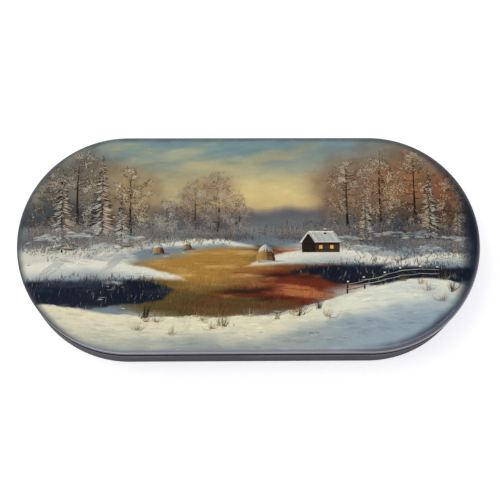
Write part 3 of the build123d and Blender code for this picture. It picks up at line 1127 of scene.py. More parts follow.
def paint_larches(strokes, trees, count, level, haze):
    """Hoarfrosted larches: a slim trunk, rising boughs, and a lace of dabs, broad and faint below, then
    finer and clearer. A bough leaves the trunk at a share of its height and reaches out by the spread,
    which swells and closes again from foot to top. A tree is foot X, foot Y, height and half spread."""
    paint, rng, boughs_each, twigs_each = strokes.paint, strokes.rng, 46, 7
    trees = np.asarray(trees, float)
    foot, top = trees[:, :2], trees[:, :2] + pair(0, trees[:, 2])
    trunk = mixed(paint.timber * 0.55, paint.mist, haze)
    bend = rng.normal(0, 0.03, len(trees))
    slim = taper(trees[:, 3] * 0.078, (1.15, 0.8, 0.6, 0.42, 0.24, 0.08))
    strokes.lay(curve(foot - [0, 0.8], top, bend, 6), slim, trunk * 0.9, (level + 0.006, 0.001, 0.92))
    up = rng.uniform(0.1, 0.98, (len(trees), boughs_each))
    side = rng.choice((-1.0, 1.0), up.shape)
    spread = trees[:, 3:4] * np.sin(np.pi * up**0.7) ** 0.7 * rng.uniform(0.4, 1.0, up.shape)
    start = pair(trees[:, :1], trees[:, 1:2] + trees[:, 2:3] * up).reshape(-1, 2)
    end = start + pair(side * spread, spread * rng.uniform(0.15, 0.8, up.shape)).reshape(-1, 2)
    boughs = curve(start, end, -0.14 * side.ravel(), 6)
    at = rng.integers(1, 6, (len(boughs), twigs_each))
    root = boughs[np.arange(len(boughs))[:, None], at].reshape(-1, 2)
    heading = np.arctan2(*(end - start).T[::-1])[:, None] + rng.normal(0, 0.75, at.shape)
    length = spread.ravel()[:, None] * rng.uniform(0.12, 0.42, at.shape)
    tip = root + pair(np.cos(heading) * length, np.sin(heading) * length + 0.15 * length).reshape(-1, 2)
    twigs = curve(root, tip, rng.normal(0, 0.1, len(root)), 3)
    kinds = ((boughs, 0.2, (1, 0.8, 0.6, 0.45, 0.3, 0.12)), (twigs, 0.085, (1, 0.7, 0.2)))
    for routes, thick, shape in kinds:
        values = mixed(tones(rng, paint.larch * 0.42, paint.larch * 0.8, len(routes), 0.04), paint.mist, haze)
        half = taper(rng.uniform(0.5, 1.0, len(routes)) * thick, shape)
        strokes.lay(routes, half, values, (level + 0.007, 0.002, 0.8))
    plans = (
        (0.45, paint.larch * 0.8, paint.larch_light, 0.42, 1.4, 0.24, 1.0, -0.001),
        (1.0, paint.larch * 0.42, paint.larch * 0.8, 0.2, 0.9, 0.45, 0.6, 0.002),
        (1.0, paint.larch * 0.9, paint.copper, 0.13, 0.75, 0.45, 0.45, 0.009),
        (0.9, paint.frost * 0.95, paint.frost * 1.25, 0.12, 0.6, 0.6, 0.4, 0.012),
    )
    for part, first, second, width, long, cover, loose, rise in plans:
        which = rng.integers(0, len(twigs), int(count * part) * len(trees))
        at = rng.random((len(which), 1))
        centres = root[which] * (1 - at) + tip[which] * at + rng.normal(0, loose, (len(which), 2))
        gaps = clouds_at(*centres.T, 3.4, 3.4, 341, 2)
        centres = centres[rng.random(len(which)) < ramp(0.3, 0.62, gaps) + 0.12]
        route, half = dabs(rng, centres, long, width, 0.9, 1.1)
        values = tones(rng, first, second, len(route)) * wood_light(centres[:, 0])
        values = mixed(mixed(values, paint.peach, bell(centres[:, 0], 4, 34) * 0.4), paint.mist, haze)
        strokes.lay(route, half, values, (level + rise, 0.0025, cover))


# Operators

class LACQUER_OT_base(bpy.types.Operator):
    """Base: the wound wall with its floor and its lining"""

    bl_idname = "lacquer.base"
    bl_label = "Base"

    def execute(self, context):
        sizes = context.scene.lacquer_sizes
        black = finish_named(context, "black_oil_lacquer")
        red = finish_named(context, "cinnabar_oil_lacquer")
        columns = with_barrel_columns(outline_columns(*WALL_COLUMNS))
        wall = shell("base_wall_lacquer", base_wall_section(sizes), columns, side=-1)
        new_piece(wall, [black], "base", ["base_wall"])

        under = run((0.0, 0.0), (FLOOR_EDGE, 0.0), 12)
        top = run((FLOOR_EDGE, FLOOR_TOP), (0.0, FLOOR_TOP), 12)
        red_rows = np.arange(len(under) + len(top) - 1) >= len(under)
        columns = outline_columns(*INSIDE_COLUMNS)
        floor = shell("base_floor_lacquer", np.concatenate([under, top]), columns, red_rows, closed=False)
        new_piece(floor, [black, red], "base", ["base_floor"])

        collar = shell("collar_lacquer", collar_section(sizes), columns)
        new_piece(collar, [red], "base", ["inner_collar"])
        return {"FINISHED"}


class LACQUER_OT_lid(bpy.types.Operator):
    """Lid: the wound ring, and the domed board with the picture's ground coats"""

    bl_idname = "lacquer.lid"
    bl_label = "Lid"

    def execute(self, context):
        sizes = context.scene.lacquer_sizes
        black = finish_named(context, "black_oil_lacquer")
        red = finish_named(context, "cinnabar_oil_lacquer")
        section = lid_ring_section(sizes)
        above_lip = section[:, 1] > LID_BOTTOM + LIP_EDGE
        inner = np.flatnonzero((section[:, 0] < HALF_WIDTH - sizes.wall) & above_lip)[0]
        columns = with_barrel_columns(outline_columns(*WALL_COLUMNS))
        ring = shell("lid_ring_lacquer", section, columns, np.arange(len(section)) == inner, side=1)
        new_piece(ring, [black, red], "lid", ["lid_ring"])

        section, under_end, picture_start = board_section(sizes, *BOARD_ROWS)
        row = np.arange(len(section) - 1)
        finishes = np.where(row < under_end, 2, np.where(row < picture_start, 0, 1))
        board = shell("lid_board_painted", section, outline_columns(*BOARD_COLUMNS), finishes, closed=False)
        places = np.empty(3 * len(board.vertices))
        board.vertices.foreach_get("co", places)
        x, y = places[0::3] / MM, places[1::3] / MM
        paint = Palette(context.scene.picture_colours)
        add_paint(board, paint.light(framed(paint, picture_at(paint, x, y), x, y)))
        coats = [black, finish_named(context, "picture_paint"), red]
        new_piece(board, coats, "lid", ["lid_top"])
        return {"FINISHED"}


class LACQUER_OT_hinge(bpy.types.Operator):
    """Hinge: brass on the leaves, the pin and the rivets"""

    bl_idname = "lacquer.hinge"
    bl_label = "Hinge"

    def execute(self, context):
        brass = finish_named(context, "brass_metal")
        for name in ("hinge_leaf_base", "hinge_leaf_lid", "hinge_pin", "base_leaf_rivets", "lid_leaf_rivets"):
            materials = frame["nodes"][name].data.materials
            materials.clear()
            materials.append(brass)
        return {"FINISHED"}


class LACQUER_OT_far_wood(bpy.types.Operator):
    """Far wood: small hazy spruces along the foot of the hills"""

    bl_idname = "lacquer.far_wood"
    bl_label = "Far wood"

    def execute(self, context):
        strokes = Strokes(context, 301)
        paint, rng = strokes.paint, strokes.rng
        count, tiers = context.scene.picture_counts.far_trees, 9
        x = rng.uniform(-80, 80, count * 4)
        grove = 0.12 + 0.88 * ramp(0.42, 0.6, clouds_at(x, 0 * x, 12.0, 1.0, 305, 2))
        x = x[rng.random(len(x)) < grove][:count]
        depth = rng.random(len(x))
        foot = wood_line(x) + 0.5 - 1.6 * depth
        height = rng.uniform(2.6, 6.4, len(x)) * (0.6 + 0.5 * ramp(10, 50, np.abs(x - 2)))
        down = np.linspace(1.0, 0.08, tiers)
        reach = height[:, None] * 0.2 * down * rng.uniform(0.7, 1.15, (len(x), tiers))
        level = foot[:, None] + height[:, None] * (1 - down)
        share = np.linspace(-1, 1, 3)
        across = x[:, None, None] + reach[..., None] * share
        droop = level[..., None] - 0.35 * reach[..., None] * np.abs(share)
        route = pair(across, droop).reshape(-1, 3, 2)
        tone = mixed(paint.spruce_mid, paint.far_hill, 0.4 + 0.5 * (1 - depth))
        tone = mixed(tone, paint.peach, 0.25 * bell(x, 4, 26))
        tone = np.repeat(tone, tiers, axis=0) + rng.normal(0, 0.03, (len(route), 1))
        half = np.repeat(height * 0.08, tiers) * rng.uniform(0.7, 1.1, len(route))
        strokes.lay(route, taper(half, (0.25, 1.0, 0.25)), tone * 0.86, "far wood")
        frosted = rng.random(len(route)) < 0.5
        half = taper(half[frosted] * 0.4, (0.3, 1.0, 0.3))
        strokes.lay(route[frosted] + [0, 0.22], half, mixed(tone[frosted], paint.frost, 0.5), "far frost")
        strokes.piece("picture_far_wood")
        return {"FINISHED"}


# Near trees from left to right: place, seed, haze of the larches, then larches and spruces, each of
# them as foot X, foot Y, height and half spread
WOODS = (
    (
        "left", 401, 0.1,
        ((-72, 2, 27, 8.5), (-42, 1.5, 25, 7.5), (-60, 1.6, 32.4, 8.0)),
        ((-52, -1.5, 33, 7.2), (-66, -6.5, 33, 7.8), (-45, -4.5, 21, 5.2)),
    ),
    (
        "middle", 402, 0.3,
        ((-19, 1.5, 19, 5.4), (-11.5, 2.2, 23, 6.0), (-4.5, 1.8, 15, 4.4), (-29, 1.5, 13, 4.4)),
        (),
    ),
    (
        "right", 403, 0.1,
        ((35, 1.5, 28, 7.6), (47, 2.5, 31, 8.2), (72, 1.5, 24, 7.6), (59, 1.2, 31.8, 8.0)),
        ((64, -2.5, 29, 6.6), (41, -2.5, 21, 5.0), (74, -6.5, 20, 5.2)),
    ),
)


class LACQUER_OT_woods(bpy.types.Operator):
    """Woods: hoarfrosted larches and tall spruces that frame the picture at both ends"""

    bl_idname = "lacquer.woods"
    bl_label = "Woods"

    def execute(self, context):
        counts = context.scene.picture_counts
        for side, seed, haze, larches, spruces in WOODS:
            strokes = Strokes(context, seed)
            paint_larches(strokes, larches, counts.twigs, LARCH_LIFT, haze)
            for tree in spruces:
                paint_spruce(strokes, tree, counts.boughs, SPRUCE_LIFT, SPRUCE_HAZE)
            strokes.piece("picture_woods_" + side)
        return {"FINISHED"}


# Clumps of brush: middle X and Y, reach in X and Y
THICKETS = (
    (-74, -0.5, 8, 5), (-61, -1.0, 10, 4.5), (-46, -0.5, 9, 4.0), (-33, 1.5, 8, 3.4), (-18, 1.2, 8, 2.4),
    (-6, 1.4, 7, 2.2), (15, 1.6, 7, 2.4), (38, 0.5, 9, 4.2), (50, -1.0, 11, 4.6), (62, -2.5, 10, 4.6),
    (75, -3, 8, 4.6), (-60, 2.6, 5, 2.4), (-73, 2.2, 6, 2.6), (59, 2.4, 6, 2.6), (73, 1.8, 6, 2.8),
    (46, 2.2, 5, 2.4), (30, 2.4, 6, 2.4),
)


class LACQUER_OT_brush(bpy.types.Operator):
    """Brush: frosted undergrowth at the foot of the woods, and dark reeds in the hollows"""

    bl_idname = "lacquer.brush"
    bl_label = "Brush"

    def execute(self, context):
        strokes = Strokes(context, 501)
        lay_undergrowth(strokes, context.scene.picture_counts.brush)
        lay_reeds(strokes, number=4200)
        strokes.piece("picture_brush")
        return {"FINISHED"}


def lay_undergrowth(strokes, count):
    """Dabs scattered about each thicket's middle, lighter towards its top, with a stem from each tenth."""
    paint, rng = strokes.paint, strokes.rng
    chosen = np.array(THICKETS)[rng.integers(0, len(THICKETS), count)]
    offset = rng.normal(0, 0.5, (count, 2))
    centres = chosen[:, :2] + offset * chosen[:, 2:] + [0, 0.6]
    order = np.argsort(-centres[:, 1])
    centres, offset = centres[order], offset[order]
    route, half = dabs(rng, centres, 0.95, 0.16, 1.35, 0.8)
    light = ramp(-0.7, 1.1, offset[:, 1] + rng.normal(0, 0.35, count))
    values = mixed(paint.spruce_deep * 1.4, paint.larch, rng.random(count))
    values = mixed(values, paint.frost, light * 0.85) + rng.normal(0, 0.04, (count, 1))
    strokes.lay(route, half, values, "undergrowth")
    stems = centres[rng.random(count) < 0.1]
    ends = stems + pair(rng.normal(0, 0.6, len(stems)), rng.uniform(1.2, 2.8, len(stems)))
    bend = rng.normal(0, 0.08, len(stems))
    values = (paint.larch * 0.6, paint.larch_light, 0.05)
    strokes.streaks(stems - [0, 0.8], ends, (0.04, 0.09), (1, 0.8, 0.55, 0.2), values, bend, "stems")


def lay_reeds(strokes, number):
    """Blades where the hollows are dark and the near drift doesn't hide them, some of them rimed."""
    paint, rng = strokes.paint, strokes.rng
    root = scattered(rng, number, (-80, 80), (-26, -6))
    root = root[(hollow(*root.T) > 0.35) & (root[:, 1] > drift_line(root[:, 0]) + 0.2)]
    root = root[np.argsort(-root[:, 1])]
    count = len(root)
    tall = rng.uniform(0.5, 2.2, count)
    end = root + pair(rng.normal(0.1, 0.3, count) * tall, tall)
    patch = ramp(0.42, 0.66, clouds_at(*root.T, 6.0, 2.4, 521, 3))
    values = tones(rng, paint.navy * 0.8, paint.far_hill * 0.75, count, 0.03)
    values = mixed(values, paint.timber * 1.1, patch * rng.random(count))
    values = mixed(values, paint.frost, (rng.random(count) < 0.16 * (0.3 + patch)) * 0.75)
    strokes.streaks(root, end, (0.05, 0.16), (1, 0.9, 0.6, 0.15), values, (0, 0.1), "reeds")


# Haystacks: foot X and Y, width and height
HAYSTACKS = ((-32, -4.6, 3.8, 3.3), (-22, -3.0, 2.9, 2.5), (5.5, -7.4, 6.6, 5.6))


class LACQUER_OT_field(bpy.types.Operator):
    """Field: dry grass that the evening light picks out, with haystacks"""

    bl_idname = "lacquer.field"
    bl_label = "Field"

    def execute(self, context):
        strokes = Strokes(context, 601)
        lay_grass(strokes, context.scene.picture_counts.grass)
        for place in HAYSTACKS:
            lay_haystack(strokes, *place)
        strokes.piece("picture_field")
        return {"FINISHED"}


def lay_grass(strokes, count):
    """Upright dabs that grow towards the front, long level strokes among them, and snow along the
    patch's edge. Each takes the colour below, a little lighter or darker."""
    paint, rng = strokes.paint, strokes.rng
    centres = scattered(rng, count, (-52, 42), (-29, 0.5))
    centres = centres[np.argsort(-centres[:, 1])]
    keep = (rng.random(count) < lit_field(*centres.T)) & (centres[:, 1] > drift_line(centres[:, 0]) - 0.5)
    centres = centres[keep]
    near = ramp(0.0, -28.0, centres[:, 1])
    route, half = dabs(rng, centres, 1.0, 0.12, 1.5, 0.28)
    route[:, :, 1] = centres[:, 1:] + (route[:, :, 1] - centres[:, 1:]) * (0.45 + 1.1 * near)[:, None]
    each = (len(centres), 1)
    values = picture_at(paint, *centres.T) * rng.uniform(0.72, 1.3, each) + rng.normal(0, 0.02, each)
    strokes.lay(route, half * (0.7 + 0.5 * near)[:, None], values, "grass")

    centres = scattered(rng, 420, (-52, 40), (-29, 0))
    centres = centres[lit_field(*centres.T) > 0.3]
    way = pair(rng.uniform(0.8, 3.4, len(centres)), rng.normal(0, 0.06, len(centres)))
    values = picture_at(paint, *centres.T) * rng.uniform(0.75, 1.25, (len(centres), 1))
    start, end = centres - way, centres + way
    strokes.streaks(start, end, (0.06, 0.22), LONG_SPINDLE, values, (0, 0.03), "long grass")

    centres = scattered(rng, 150, (-54, 42), (-27, 0))
    edge = lit_field(*centres.T)
    centres = centres[(edge > 0.08) & (edge < 0.75)]
    way = pair(rng.uniform(0.5, 1.8, len(centres)), rng.normal(0, 0.06, len(centres)))
    values = (paint.snow_shade, paint.snow, 0.05)
    start, end = centres - way, centres + way
    strokes.streaks(start, end, (0.1, 0.28), LONG_SPINDLE, values, (0.02, 0.03), "field snow")


def lay_haystack(strokes, x, y, width, height):
    """A rounded stack: straws run from foot to top along a dome whose half width shrinks as a power of
    one less a power of the height, with a thin snow cap and a shadow that darkens the ground."""
    paint, rng, straws, flakes = strokes.paint, strokes.rng, 150, 54
    rise = np.linspace(0, 1, 6)
    dome = (1 - rise**1.9) ** 0.7 * width / 2
    across = rng.uniform(-1, 1, straws)
    across = across[np.argsort(-np.abs(across))]
    top = rng.uniform(0.6, 1.0, straws)[:, None]
    swept = x + across[:, None] * np.interp(rise * top, rise, dome) + rng.normal(0, 0.03, (straws, 1))
    route = pair(swept, y + height * rise * top - 0.25 * across[:, None] ** 2)
    values = mixed(paint.straw * 0.92, paint.amber, rng.random(straws))
    values = mixed(values, paint.rust * 0.6, ramp(-0.5, 0.9, across + rng.normal(0, 0.2, straws)))
    cast = np.linspace(x - 0.4 * width, x + 1.0 * width, 8)
    ground = level_routes(cast[:-1], cast[1:], y - 0.35)
    fade = picture_at(paint, cast[:-1], y - 0.4 + 0 * cast[:-1]) * 0.5
    strokes.lay(ground, np.linspace(0.55, 0.12, 7)[:, None], fade, "stack shadow")
    half = taper(rng.uniform(0.08, 0.2, straws), (0.8, 1, 1, 0.8, 0.6, 0.2))
    strokes.lay(route, half, values, "straw")
    across = rng.uniform(-1, 1, flakes)
    low = 0.7 - 0.1 * across**2 + rng.uniform(-0.16, 0.1, flakes)
    start = pair(x + across * np.interp(low, rise, dome), y + height * low)
    end = pair(x + across * width * 0.08, y + height * (1.0 - 0.03 * across**2))
    values = mixed(paint.snow, paint.snow_shade, ramp(-0.3, 1.0, across + rng.normal(0, 0.2, flakes)))
    strokes.streaks(start, end, (0.1, 0.2), (0.3, 1, 0.9, 0.5), values, -0.1 * across, "stack snow")


class LACQUER_OT_cottage(bpy.types.Operator):
    """Cottage: log walls under a roof of snow, a lit window, a chimney, and a rail fence"""

    bl_idname = "lacquer.cottage"
    bl_label = "Cottage and fence"

    def execute(self, context):
        strokes = Strokes(context, 701)
        build_cottage(strokes)
        build_fence(strokes)
        strokes.piece("picture_cottage_and_fence")
        return {"FINISHED"}


def level_routes(first, last, heights):
    """Level routes of two points from X first to X last at each height."""
    return np.stack([pair(first, heights), pair(last, heights)], 1)


def build_cottage(strokes):
    """Two log walls that meet at a corner, a gable, a snow roof, a chimney with smoke, and two windows."""
    paint, rng = strokes.paint, strokes.rng
    left, corner, right, chimney, foot, logs, pitch = 18.6, 22.8, 31.4, 26.6, -4.6, 8, 0.5
    eaves = foot + logs * pitch
    middle, peak = (left + corner) / 2, eaves + 3.0
    rows = foot + pitch * (np.arange(logs) + 0.5)
    for first, last, dark in ((corner, right, 1.0), (left, corner, 0.72)):
        route = level_routes(first - 0.25, last + 0.25, rows)
        values = paint.timber * dark * rng.uniform(0.85, 1.25, (logs, 1))
        strokes.lay(route, pitch * 0.5, values, "logs")
        strokes.lay(route + [0, 0.5 * pitch], 0.05, paint.navy * 0.6, "log gaps")
    up = np.linspace(0.06, 0.92, 6)
    half = (corner - left) / 2 * (1 - up)
    route = level_routes(middle - half, middle + half, eaves + 3.0 * up)
    strokes.lay(route, 0.3, paint.timber * rng.uniform(0.6, 0.85, (6, 1)), "gable")

    across = np.linspace(0, 1, 13) * (right - corner)
    ridge = pair(middle + across + 0.1, peak + 0.25)
    edge = pair(corner + 0.45 + across, eaves - 0.3)
    values = mixed(paint.snow, paint.snow_shade, 0.15 + 0.5 * rng.random(13))
    strokes.lay(curve(ridge, edge, 0.03), 0.42, values, "roof")
    ends = level_routes((corner + 0.4, middle), (right + 0.75, right - 1.9), (eaves - 0.22, peak + 0.42))
    strokes.lay(ends, 0.24, [paint.snow * 0.9, paint.snow], "roof edges")
    top = [middle, peak + 0.15]
    rim = [[[left - 0.6, eaves - 0.45], top], [top, [corner + 0.55, eaves - 0.45]]]
    strokes.lay(rim, 0.32, [paint.snow, paint.snow * 0.86], "gable snow")
    line = level_routes([corner + 0.2], [right + 0.5], eaves - 0.65)
    strokes.lay(line, 0.12, paint.navy * 0.7, "eaves shadow")

    stack = np.array([[[chimney, peak - 0.5], [chimney, peak + 1.3]]])
    strokes.lay(stack, 0.45, paint.rust * 0.8, "chimney")
    strokes.lay(stack + [[0, 1.7], [0, 0.25]], 0.5, paint.snow, "chimney snow")
    for x in (25.0, 28.9):
        pane = [[[x, foot + 1.25], [x, foot + 2.5]]]
        strokes.lay(pane, 0.7, paint.straw * 0.55, "window frames")
        strokes.lay(pane, 0.5, paint.lamp, "panes")
        strokes.lay(pane, 0.06, paint.timber * 0.7, "glazing bars")
    step = np.linspace(0, 1, 9)
    for order in range(5):
        drift = rng.normal(0, 0.22, 9).cumsum() * step
        x = chimney + 2.2 * step + 0.8 * np.sin(5 * step + 0.4 * order) * step + drift
        smoke = pair(x, peak + 1.6 + 8.0 * step)[None]
        layer = (SMOKE_LIFT + SMOKE_STEP * order, 0.0, 0.12)
        strokes.lay(smoke, np.linspace(0.1, 0.4, 9), paint.frost, layer)


def build_fence(strokes):
    """Posts with snow caps along the near drift, and two sagging rails between them."""
    paint, rng = strokes.paint, strokes.rng
    posts = np.array([34.0, 40.2, 46.8, 53.0, 59.6, 65.8])
    feet = pair(posts, drift_line(posts) + 0.2)
    tops = feet + pair(rng.normal(0, 0.3, len(posts)), 4.0 + rng.normal(0, 0.15, len(posts)))
    for share in (0.36, 0.74):
        ends = feet + (tops - feet) * share
        start, end = ends[:-1] - [0.7, 0], ends[1:] + [0.7, 0]
        rail = curve(start, end, rng.normal(-0.02, 0.015, len(start)), 5)
        wood = tones(rng, paint.timber * 0.55, paint.timber, len(start), 0.03)
        strokes.lay(rail, 0.16, wood, "rails")
        snow = tones(rng, paint.frost, paint.snow, len(start), 0.02)
        strokes.lay(rail + [0, 0.18], taper(0.1, (0.4, 1, 0.7, 1, 0.4)), snow, "rail snow")
    wood = tones(rng, paint.timber * 0.5, paint.timber * 0.85, len(posts), 0.02)
    strokes.lay(np.stack([feet, tops], 1), 0.27, wood, "posts")
    strokes.lay(np.stack([tops - [0, 0.1], tops + [0, 0.35]], 1), 0.34, paint.snow, "post snow")


# Feet of the trees, for shadows and mounds, and tall clumps of grass with their height
TREE_FEET = (
    (-66, -6.5), (-52, -1.5), (-45, -4.5), (64, -2.5), (41, -2.5), (74, -6.5), (35, 1.5), (47, 2.5),
    (-60, 2.8), (-72, 1.8), (-42, 1.4), (72, 1.4), (59, 2.8),
)
CLUMPS = ((-37, -27.5, 4.4), (-9, -30.5, 3.6), (17, -27.0, 5.0), (24, -24.5, 3.4), (71, -18.5, 4.2))


class LACQUER_OT_snow(bpy.types.Operator):
    """Snow: swelling drifts, mounds at the trees, and tufts of dry grass"""

    bl_idname = "lacquer.snow"
    bl_label = "Snow and grass"

    def execute(self, context):
        strokes, counts = Strokes(context, 801), context.scene.picture_counts
        lay_drifts(strokes, counts.drifts)
        lay_at_trees(strokes, np.array(TREE_FEET), shadows=16, mounds=18)
        lay_tufts(strokes, counts.tufts, blades=17, tall_blades=90)
        strokes.piece("picture_snow_and_grass")
        return {"FINISHED"}


def lay_drifts(strokes, count):
    """Strokes that follow the near drift's crest, then strokes over the open snow behind it."""
    paint, rng = strokes.paint, strokes.rng
    x = rng.uniform(-76, 78, count)
    below = rng.random(count) ** 1.25 * 17
    y = drift_line(x) - below - 0.1
    order = np.argsort(-y)
    x, y, below = x[order], y[order], below[order]
    length = rng.uniform(1.6, 5.6, count)
    slope = (drift_line(x + 1) - drift_line(x - 1)) / 2 * np.exp(-below / 6)
    start = pair(x - length / 2, y - slope * length / 2)
    end = pair(x + length / 2, y + slope * length / 2)
    values = picture_at(paint, x, y) * rng.uniform(0.93, 1.07, (count, 1)) + rng.normal(0, 0.012, (count, 1))
    strokes.streaks(start, end, (0.15, 0.5), SNOW_SPINDLE, values, (0.02, 0.03), "drifts")

    centres = scattered(rng, 800, (-78, 78), (-20, 3.0))
    clear = (hollow(*centres.T) < 0.05) & (lit_field(*centres.T) < 0.05)
    centres = centres[clear & (centres[:, 1] > drift_line(centres[:, 0]) + 0.8)]
    length = rng.uniform(1.2, 4.5, len(centres))
    way = pair(length, rng.normal(0, 0.08, len(centres)) * length) / 2
    values = picture_at(paint, *centres.T) * rng.uniform(0.9, 1.1, (len(centres), 1))
    start, end = centres - way, centres + way
    strokes.streaks(start, end, (0.1, 0.34), (0.15, 1, 0.8, 0.15), values, (0.01, 0.03), "open snow")


def lay_at_trees(strokes, feet, shadows, mounds):
    """Shadows that fan out from each tree's foot towards the front, and bright mounds about it."""
    paint, rng = strokes.paint, strokes.rng
    offset = rng.normal(0, 0.8, (len(feet) * shadows, 2)) * [1, 0.2]
    root = np.repeat(feet, shadows, axis=0) + offset - [0, 0.8]
    long = rng.uniform(2.5, 7.5, len(root))
    end = root + pair((root[:, 0] - 4) / 45 * long, -long)
    open_snow = (hollow(*end.T) < 0.3) & (end[:, 1] > drift_line(end[:, 0]))
    root, end = root[open_snow], end[open_snow]
    values = picture_at(paint, *((root + end) / 2).T) * [0.66, 0.72, 0.8]
    strokes.streaks(root, end, (0.15, 0.45), (1, 0.9, 0.6, 0.2), values, (0, 0.05), "tree shadows")
    offset = rng.normal(0, 1.0, (len(feet) * mounds, 2)) * [2.6, 0.55]
    middle = np.repeat(feet, mounds, axis=0) + offset + [0, -0.9]
    way = pair(rng.uniform(0.7, 2.0, len(middle)), rng.normal(0, 0.15, len(middle)))
    bend = rng.uniform(0.03, 0.12, len(middle))
    values = (paint.snow_shade * 1.1, paint.snow, 0.03)
    strokes.streaks(middle - way, middle + way, (0.14, 0.36), SNOW_SPINDLE, values, bend, "mounds")


def lay_tufts(strokes, count, blades, tall_blades):
    """Tufts that lean with the wind in front of the drift's crest, and the tall clumps."""
    paint, rng = strokes.paint, strokes.rng
    place = rng.uniform(-58, 72, count)
    root = pair(place, drift_line(place) - rng.random(count) ** 2 * 8.0)
    root = np.repeat(root, blades, axis=0) + rng.normal(0, 0.5, (count * blades, 2)) * [1, 0.25]
    lean = rng.normal(0.3, 0.5, len(root))
    tall = rng.uniform(1.2, 3.8, len(root))
    end = root + pair(lean * tall, tall * (1 - 0.3 * np.abs(lean)))
    values = tones(rng, paint.timber, paint.straw, len(root))
    strokes.streaks(root, end, (0.035, 0.08), BLADE, values, -0.22 * lean, "tufts")
    chosen = np.array(CLUMPS)[rng.integers(0, len(CLUMPS), tall_blades)]
    root = chosen[:, :2] + rng.normal(0, 0.55, (tall_blades, 2)) * [1, 0.3]
    lean = rng.normal(0.2, 0.32, tall_blades)
    tall = chosen[:, 2] * rng.uniform(0.45, 1.0, tall_blades)
    values = tones(rng, paint.timber * 0.5, paint.timber, tall_blades, 0.03)
    end = root + pair(lean * tall, tall)
    strokes.streaks(root, end, (0.045, 0.1), BLADE, values, -0.12 * lean, "tall grass")


class LACQUER_OT_stage(bpy.types.Operator):
    """Stage: pale floor, soft studio light and the camera"""

    bl_idname = "lacquer.stage"
    bl_label = "Stage"

    def execute(self, context):
        stage = context.scene.lacquer_stage
        lay_floor(stage)
        light_world(stage)
        key = hang_lamp("key_light", (-0.62, 0.26, 1.05), (0.9, 0.9), stage.key * 10, (1.0, 0.975, 0.94))
        key.visible_glossy = False
        hang_lamp("front_strip", (0.42, -0.62, 0.2), (0.9, 0.24), stage.strip, (0.94, 0.95, 1.0))
        set_camera(context, stage)
        context.scene.view_settings.view_transform = "Standard"
        return {"FINISHED"}


def lay_floor(stage):
    """A level floor that is white to the camera and far off in reflections, and still takes the box's
    shadow. Close to the box, reflections see only its lit surface, its colour darkened, as a painted
    contact shade: the share of white grows with the distance from the box's outline, and is larger
    towards the front, as a painted brighter reflection there."""
    tiles, drop = 8, 0.02 * MM
    line = np.linspace(-stage.floor_size, stage.floor_size, tiles + 1)
    x, y = np.meshgrid(line, line, indexing="ij")
    first = (tiles + 1) * np.arange(tiles)[:, None] + np.arange(tiles)
    faces = faces_of(first, first + tiles + 1, first + tiles + 2, first + 1)
    mesh = new_mesh("floor", np.stack([x, y, 0 * x - drop], -1).reshape(-1, 3), faces)
    finish = Finish("floor_paper")
    camera, glossy, through = finish.light_path()
    x, y = finish.values("ShaderNodeSeparateXYZ", ("X", "Y"), {"Vector": finish.where()})
    beyond = x - x.maths("MAXIMUM", -HALF_STRAIGHT).maths("MINIMUM", HALF_STRAIGHT)
    reach = (beyond * beyond + y * y) ** 0.5
    # painted reflection: in reflections the floor is brighter towards the front of the box, a little to the
    # right, than behind it
    facing = (beyond * 0.25 - y * 0.95) / reach
    # painted contact shade: in reflections the white fades out close to the box's outline
    mirrored = (reach - HALF_WIDTH).between(1.5 * MM, 8 * MM) * (facing.between(-0.1, 0.9) * 0.85 + 0.15)
    seen = camera.maths("MAXIMUM", through) * 0.47 + glossy * mirrored
    fibres = finish.noise(420.0, 4.0, 0.6)
    paper = finish.blend(fibres.between(0.3, 0.7), (0.7, 0.7, 0.71), (0.74, 0.74, 0.74))
    # painted shade: in reflections the paper's own colour is darkened
    paper = finish.blend(glossy * 0.6, paper, (0.0, 0.0, 0.0))
    matt = finish.shader("ShaderNodeBsdfDiffuse", Color=paper)
    white = finish.blend(glossy, (1.0, 1.0, 1.0), (0.92, 0.88, 1.0))
    bright = finish.shader("ShaderNodeEmission", Color=white, Strength=1.2)
    dark = finish.shader("ShaderNodeEmission", Color=(0.0, 0.0, 0.0, 1.0), Strength=0.0)
    glow = finish.shader("ShaderNodeMixShader", Fac=seen, Shader=dark, Shader_001=bright)
    finish.surface(finish.shader("ShaderNodeAddShader", Shader=matt, Shader_001=glow))
    floor = bpy.data.objects.new("floor", mesh)
    mesh.materials.append(finish.owner)
    bpy.context.scene.collection.objects.link(floor)


def light_world(stage):
    """White to the camera. In reflections it is dark overhead, and its horizon brightens from the left
    front to the right. Otherwise an even light."""
    world = bpy.data.worlds.new("studio")
    bpy.context.scene.world = world
    finish = Finish("studio", world)
    camera, mirrored, through = finish.light_path()
    direction = finish.node("ShaderNodeTexCoord").outputs["Generated"]
    x, y, height = finish.values("ShaderNodeSeparateXYZ", ("X", "Y", "Z"), {"Vector": direction})
    side = (x * 0.2 - y * 0.98).between(-0.2, 1.0)
    glossy = (0.12 + side * 0.75) * (1.0 - height.between(0.15, 0.8) * 0.95) + 0.02
    plain = 1.0 - camera.maths("MAXIMUM", mirrored).maths("MAXIMUM", through)
    strength = camera + mirrored * glossy * (1.0 - camera) + through * (1.0 - camera) + plain * stage.fill
    shader = finish.shader("ShaderNodeBackground", Color=(0.94, 0.92, 1.0, 1.0), Strength=strength)
    finish.node("ShaderNodeOutputWorld", None, {"Surface": shader})


def hang_lamp(name, place, spans, power, tint):
    """A rectangular lamp at place that faces the box."""
    data = bpy.data.lights.new(name, "AREA")
    data.shape = "RECTANGLE"
    data.size, data.size_y = spans
    data.energy = power
    data.color = tint
    lamp = bpy.data.objects.new(name, data)
    lamp.location = place
    aim = Vector((0, 0, 0.01)) - Vector(place)
    lamp.rotation_euler = aim.to_track_quat("-Z", "Y").to_euler()
    bpy.context.scene.collection.objects.link(lamp)
    return lamp


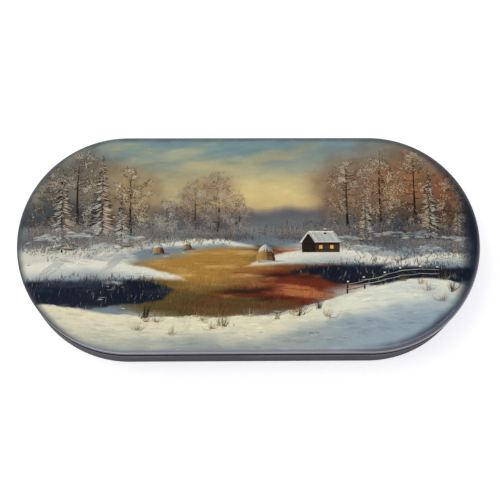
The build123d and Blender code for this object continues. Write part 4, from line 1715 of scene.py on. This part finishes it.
def set_camera(context, stage):
    """The camera looks along its azimuth and elevation at the target from its distance, then rolls."""
    side, rise, roll = stage.azimuth, stage.elevation, stage.roll
    forward = Vector((-sin(side) * cos(rise), cos(side) * cos(rise), -sin(rise)))
    right = Vector((cos(side), sin(side), 0.0))
    up = right.cross(forward)
    turned_right = right * cos(roll) + up * sin(roll)
    turned_up = up * cos(roll) - right * sin(roll)
    data = bpy.data.cameras.new("camera")
    data.lens = stage.lens
    data.sensor_width = 36.0
    data.clip_start, data.clip_end = 0.01, 20.0
    camera = bpy.data.objects.new("camera", data)
    camera.matrix_world = Matrix((turned_right, turned_up, -forward)).transposed().to_4x4()
    camera.location = Vector((stage.target_x, stage.target_y, stage.target_z)) - forward * stage.distance
    context.scene.collection.objects.link(camera)
    context.scene.camera = camera


class LACQUER_PT_panel(bpy.types.Panel):
    """The box's pieces, in the order in which they are made"""

    bl_label = "Lacquer box"
    bl_idname = "LACQUER_PT_panel"
    bl_space_type = "VIEW_3D"
    bl_region_type = "UI"
    bl_category = "Lacquer box"

    def draw(self, context):
        for operator in OPERATORS:
            self.layout.operator(operator.bl_idname)
        for group in GROUPS:
            settings = getattr(context.scene, group)
            box = self.layout.box()
            for name in settings.__annotations__:
                box.prop(settings, name)


OPERATORS = (
    LACQUER_OT_base,
    LACQUER_OT_lid,
    LACQUER_OT_hinge,
    LACQUER_OT_far_wood,
    LACQUER_OT_woods,
    LACQUER_OT_field,
    LACQUER_OT_brush,
    LACQUER_OT_cottage,
    LACQUER_OT_snow,
    LACQUER_OT_stage,
)
GROUPS = {
    "lacquer_sizes": LacquerBoxSizes,
    "lacquer_colours": LacquerColours,
    "picture_colours": PictureColours,
    "picture_counts": PictureCounts,
    "lacquer_stage": LacquerStage,
}


def register():
    for group in GROUPS.values():
        bpy.utils.register_class(group)
    for name, group in GROUPS.items():
        setattr(bpy.types.Scene, name, PointerProperty(type=group))
    for operator in OPERATORS:
        bpy.utils.register_class(operator)
    bpy.utils.register_class(LACQUER_PT_panel)


def unregister():
    bpy.utils.unregister_class(LACQUER_PT_panel)
    for operator in reversed(OPERATORS):
        bpy.utils.unregister_class(operator)
    for name, group in GROUPS.items():
        delattr(bpy.types.Scene, name)
        bpy.utils.unregister_class(group)


def main():
    register()
    for operator in OPERATORS:
        family, name = operator.bl_idname.split(".")
        getattr(getattr(bpy.ops, family), name)()


if __name__ == "__main__":
    main()
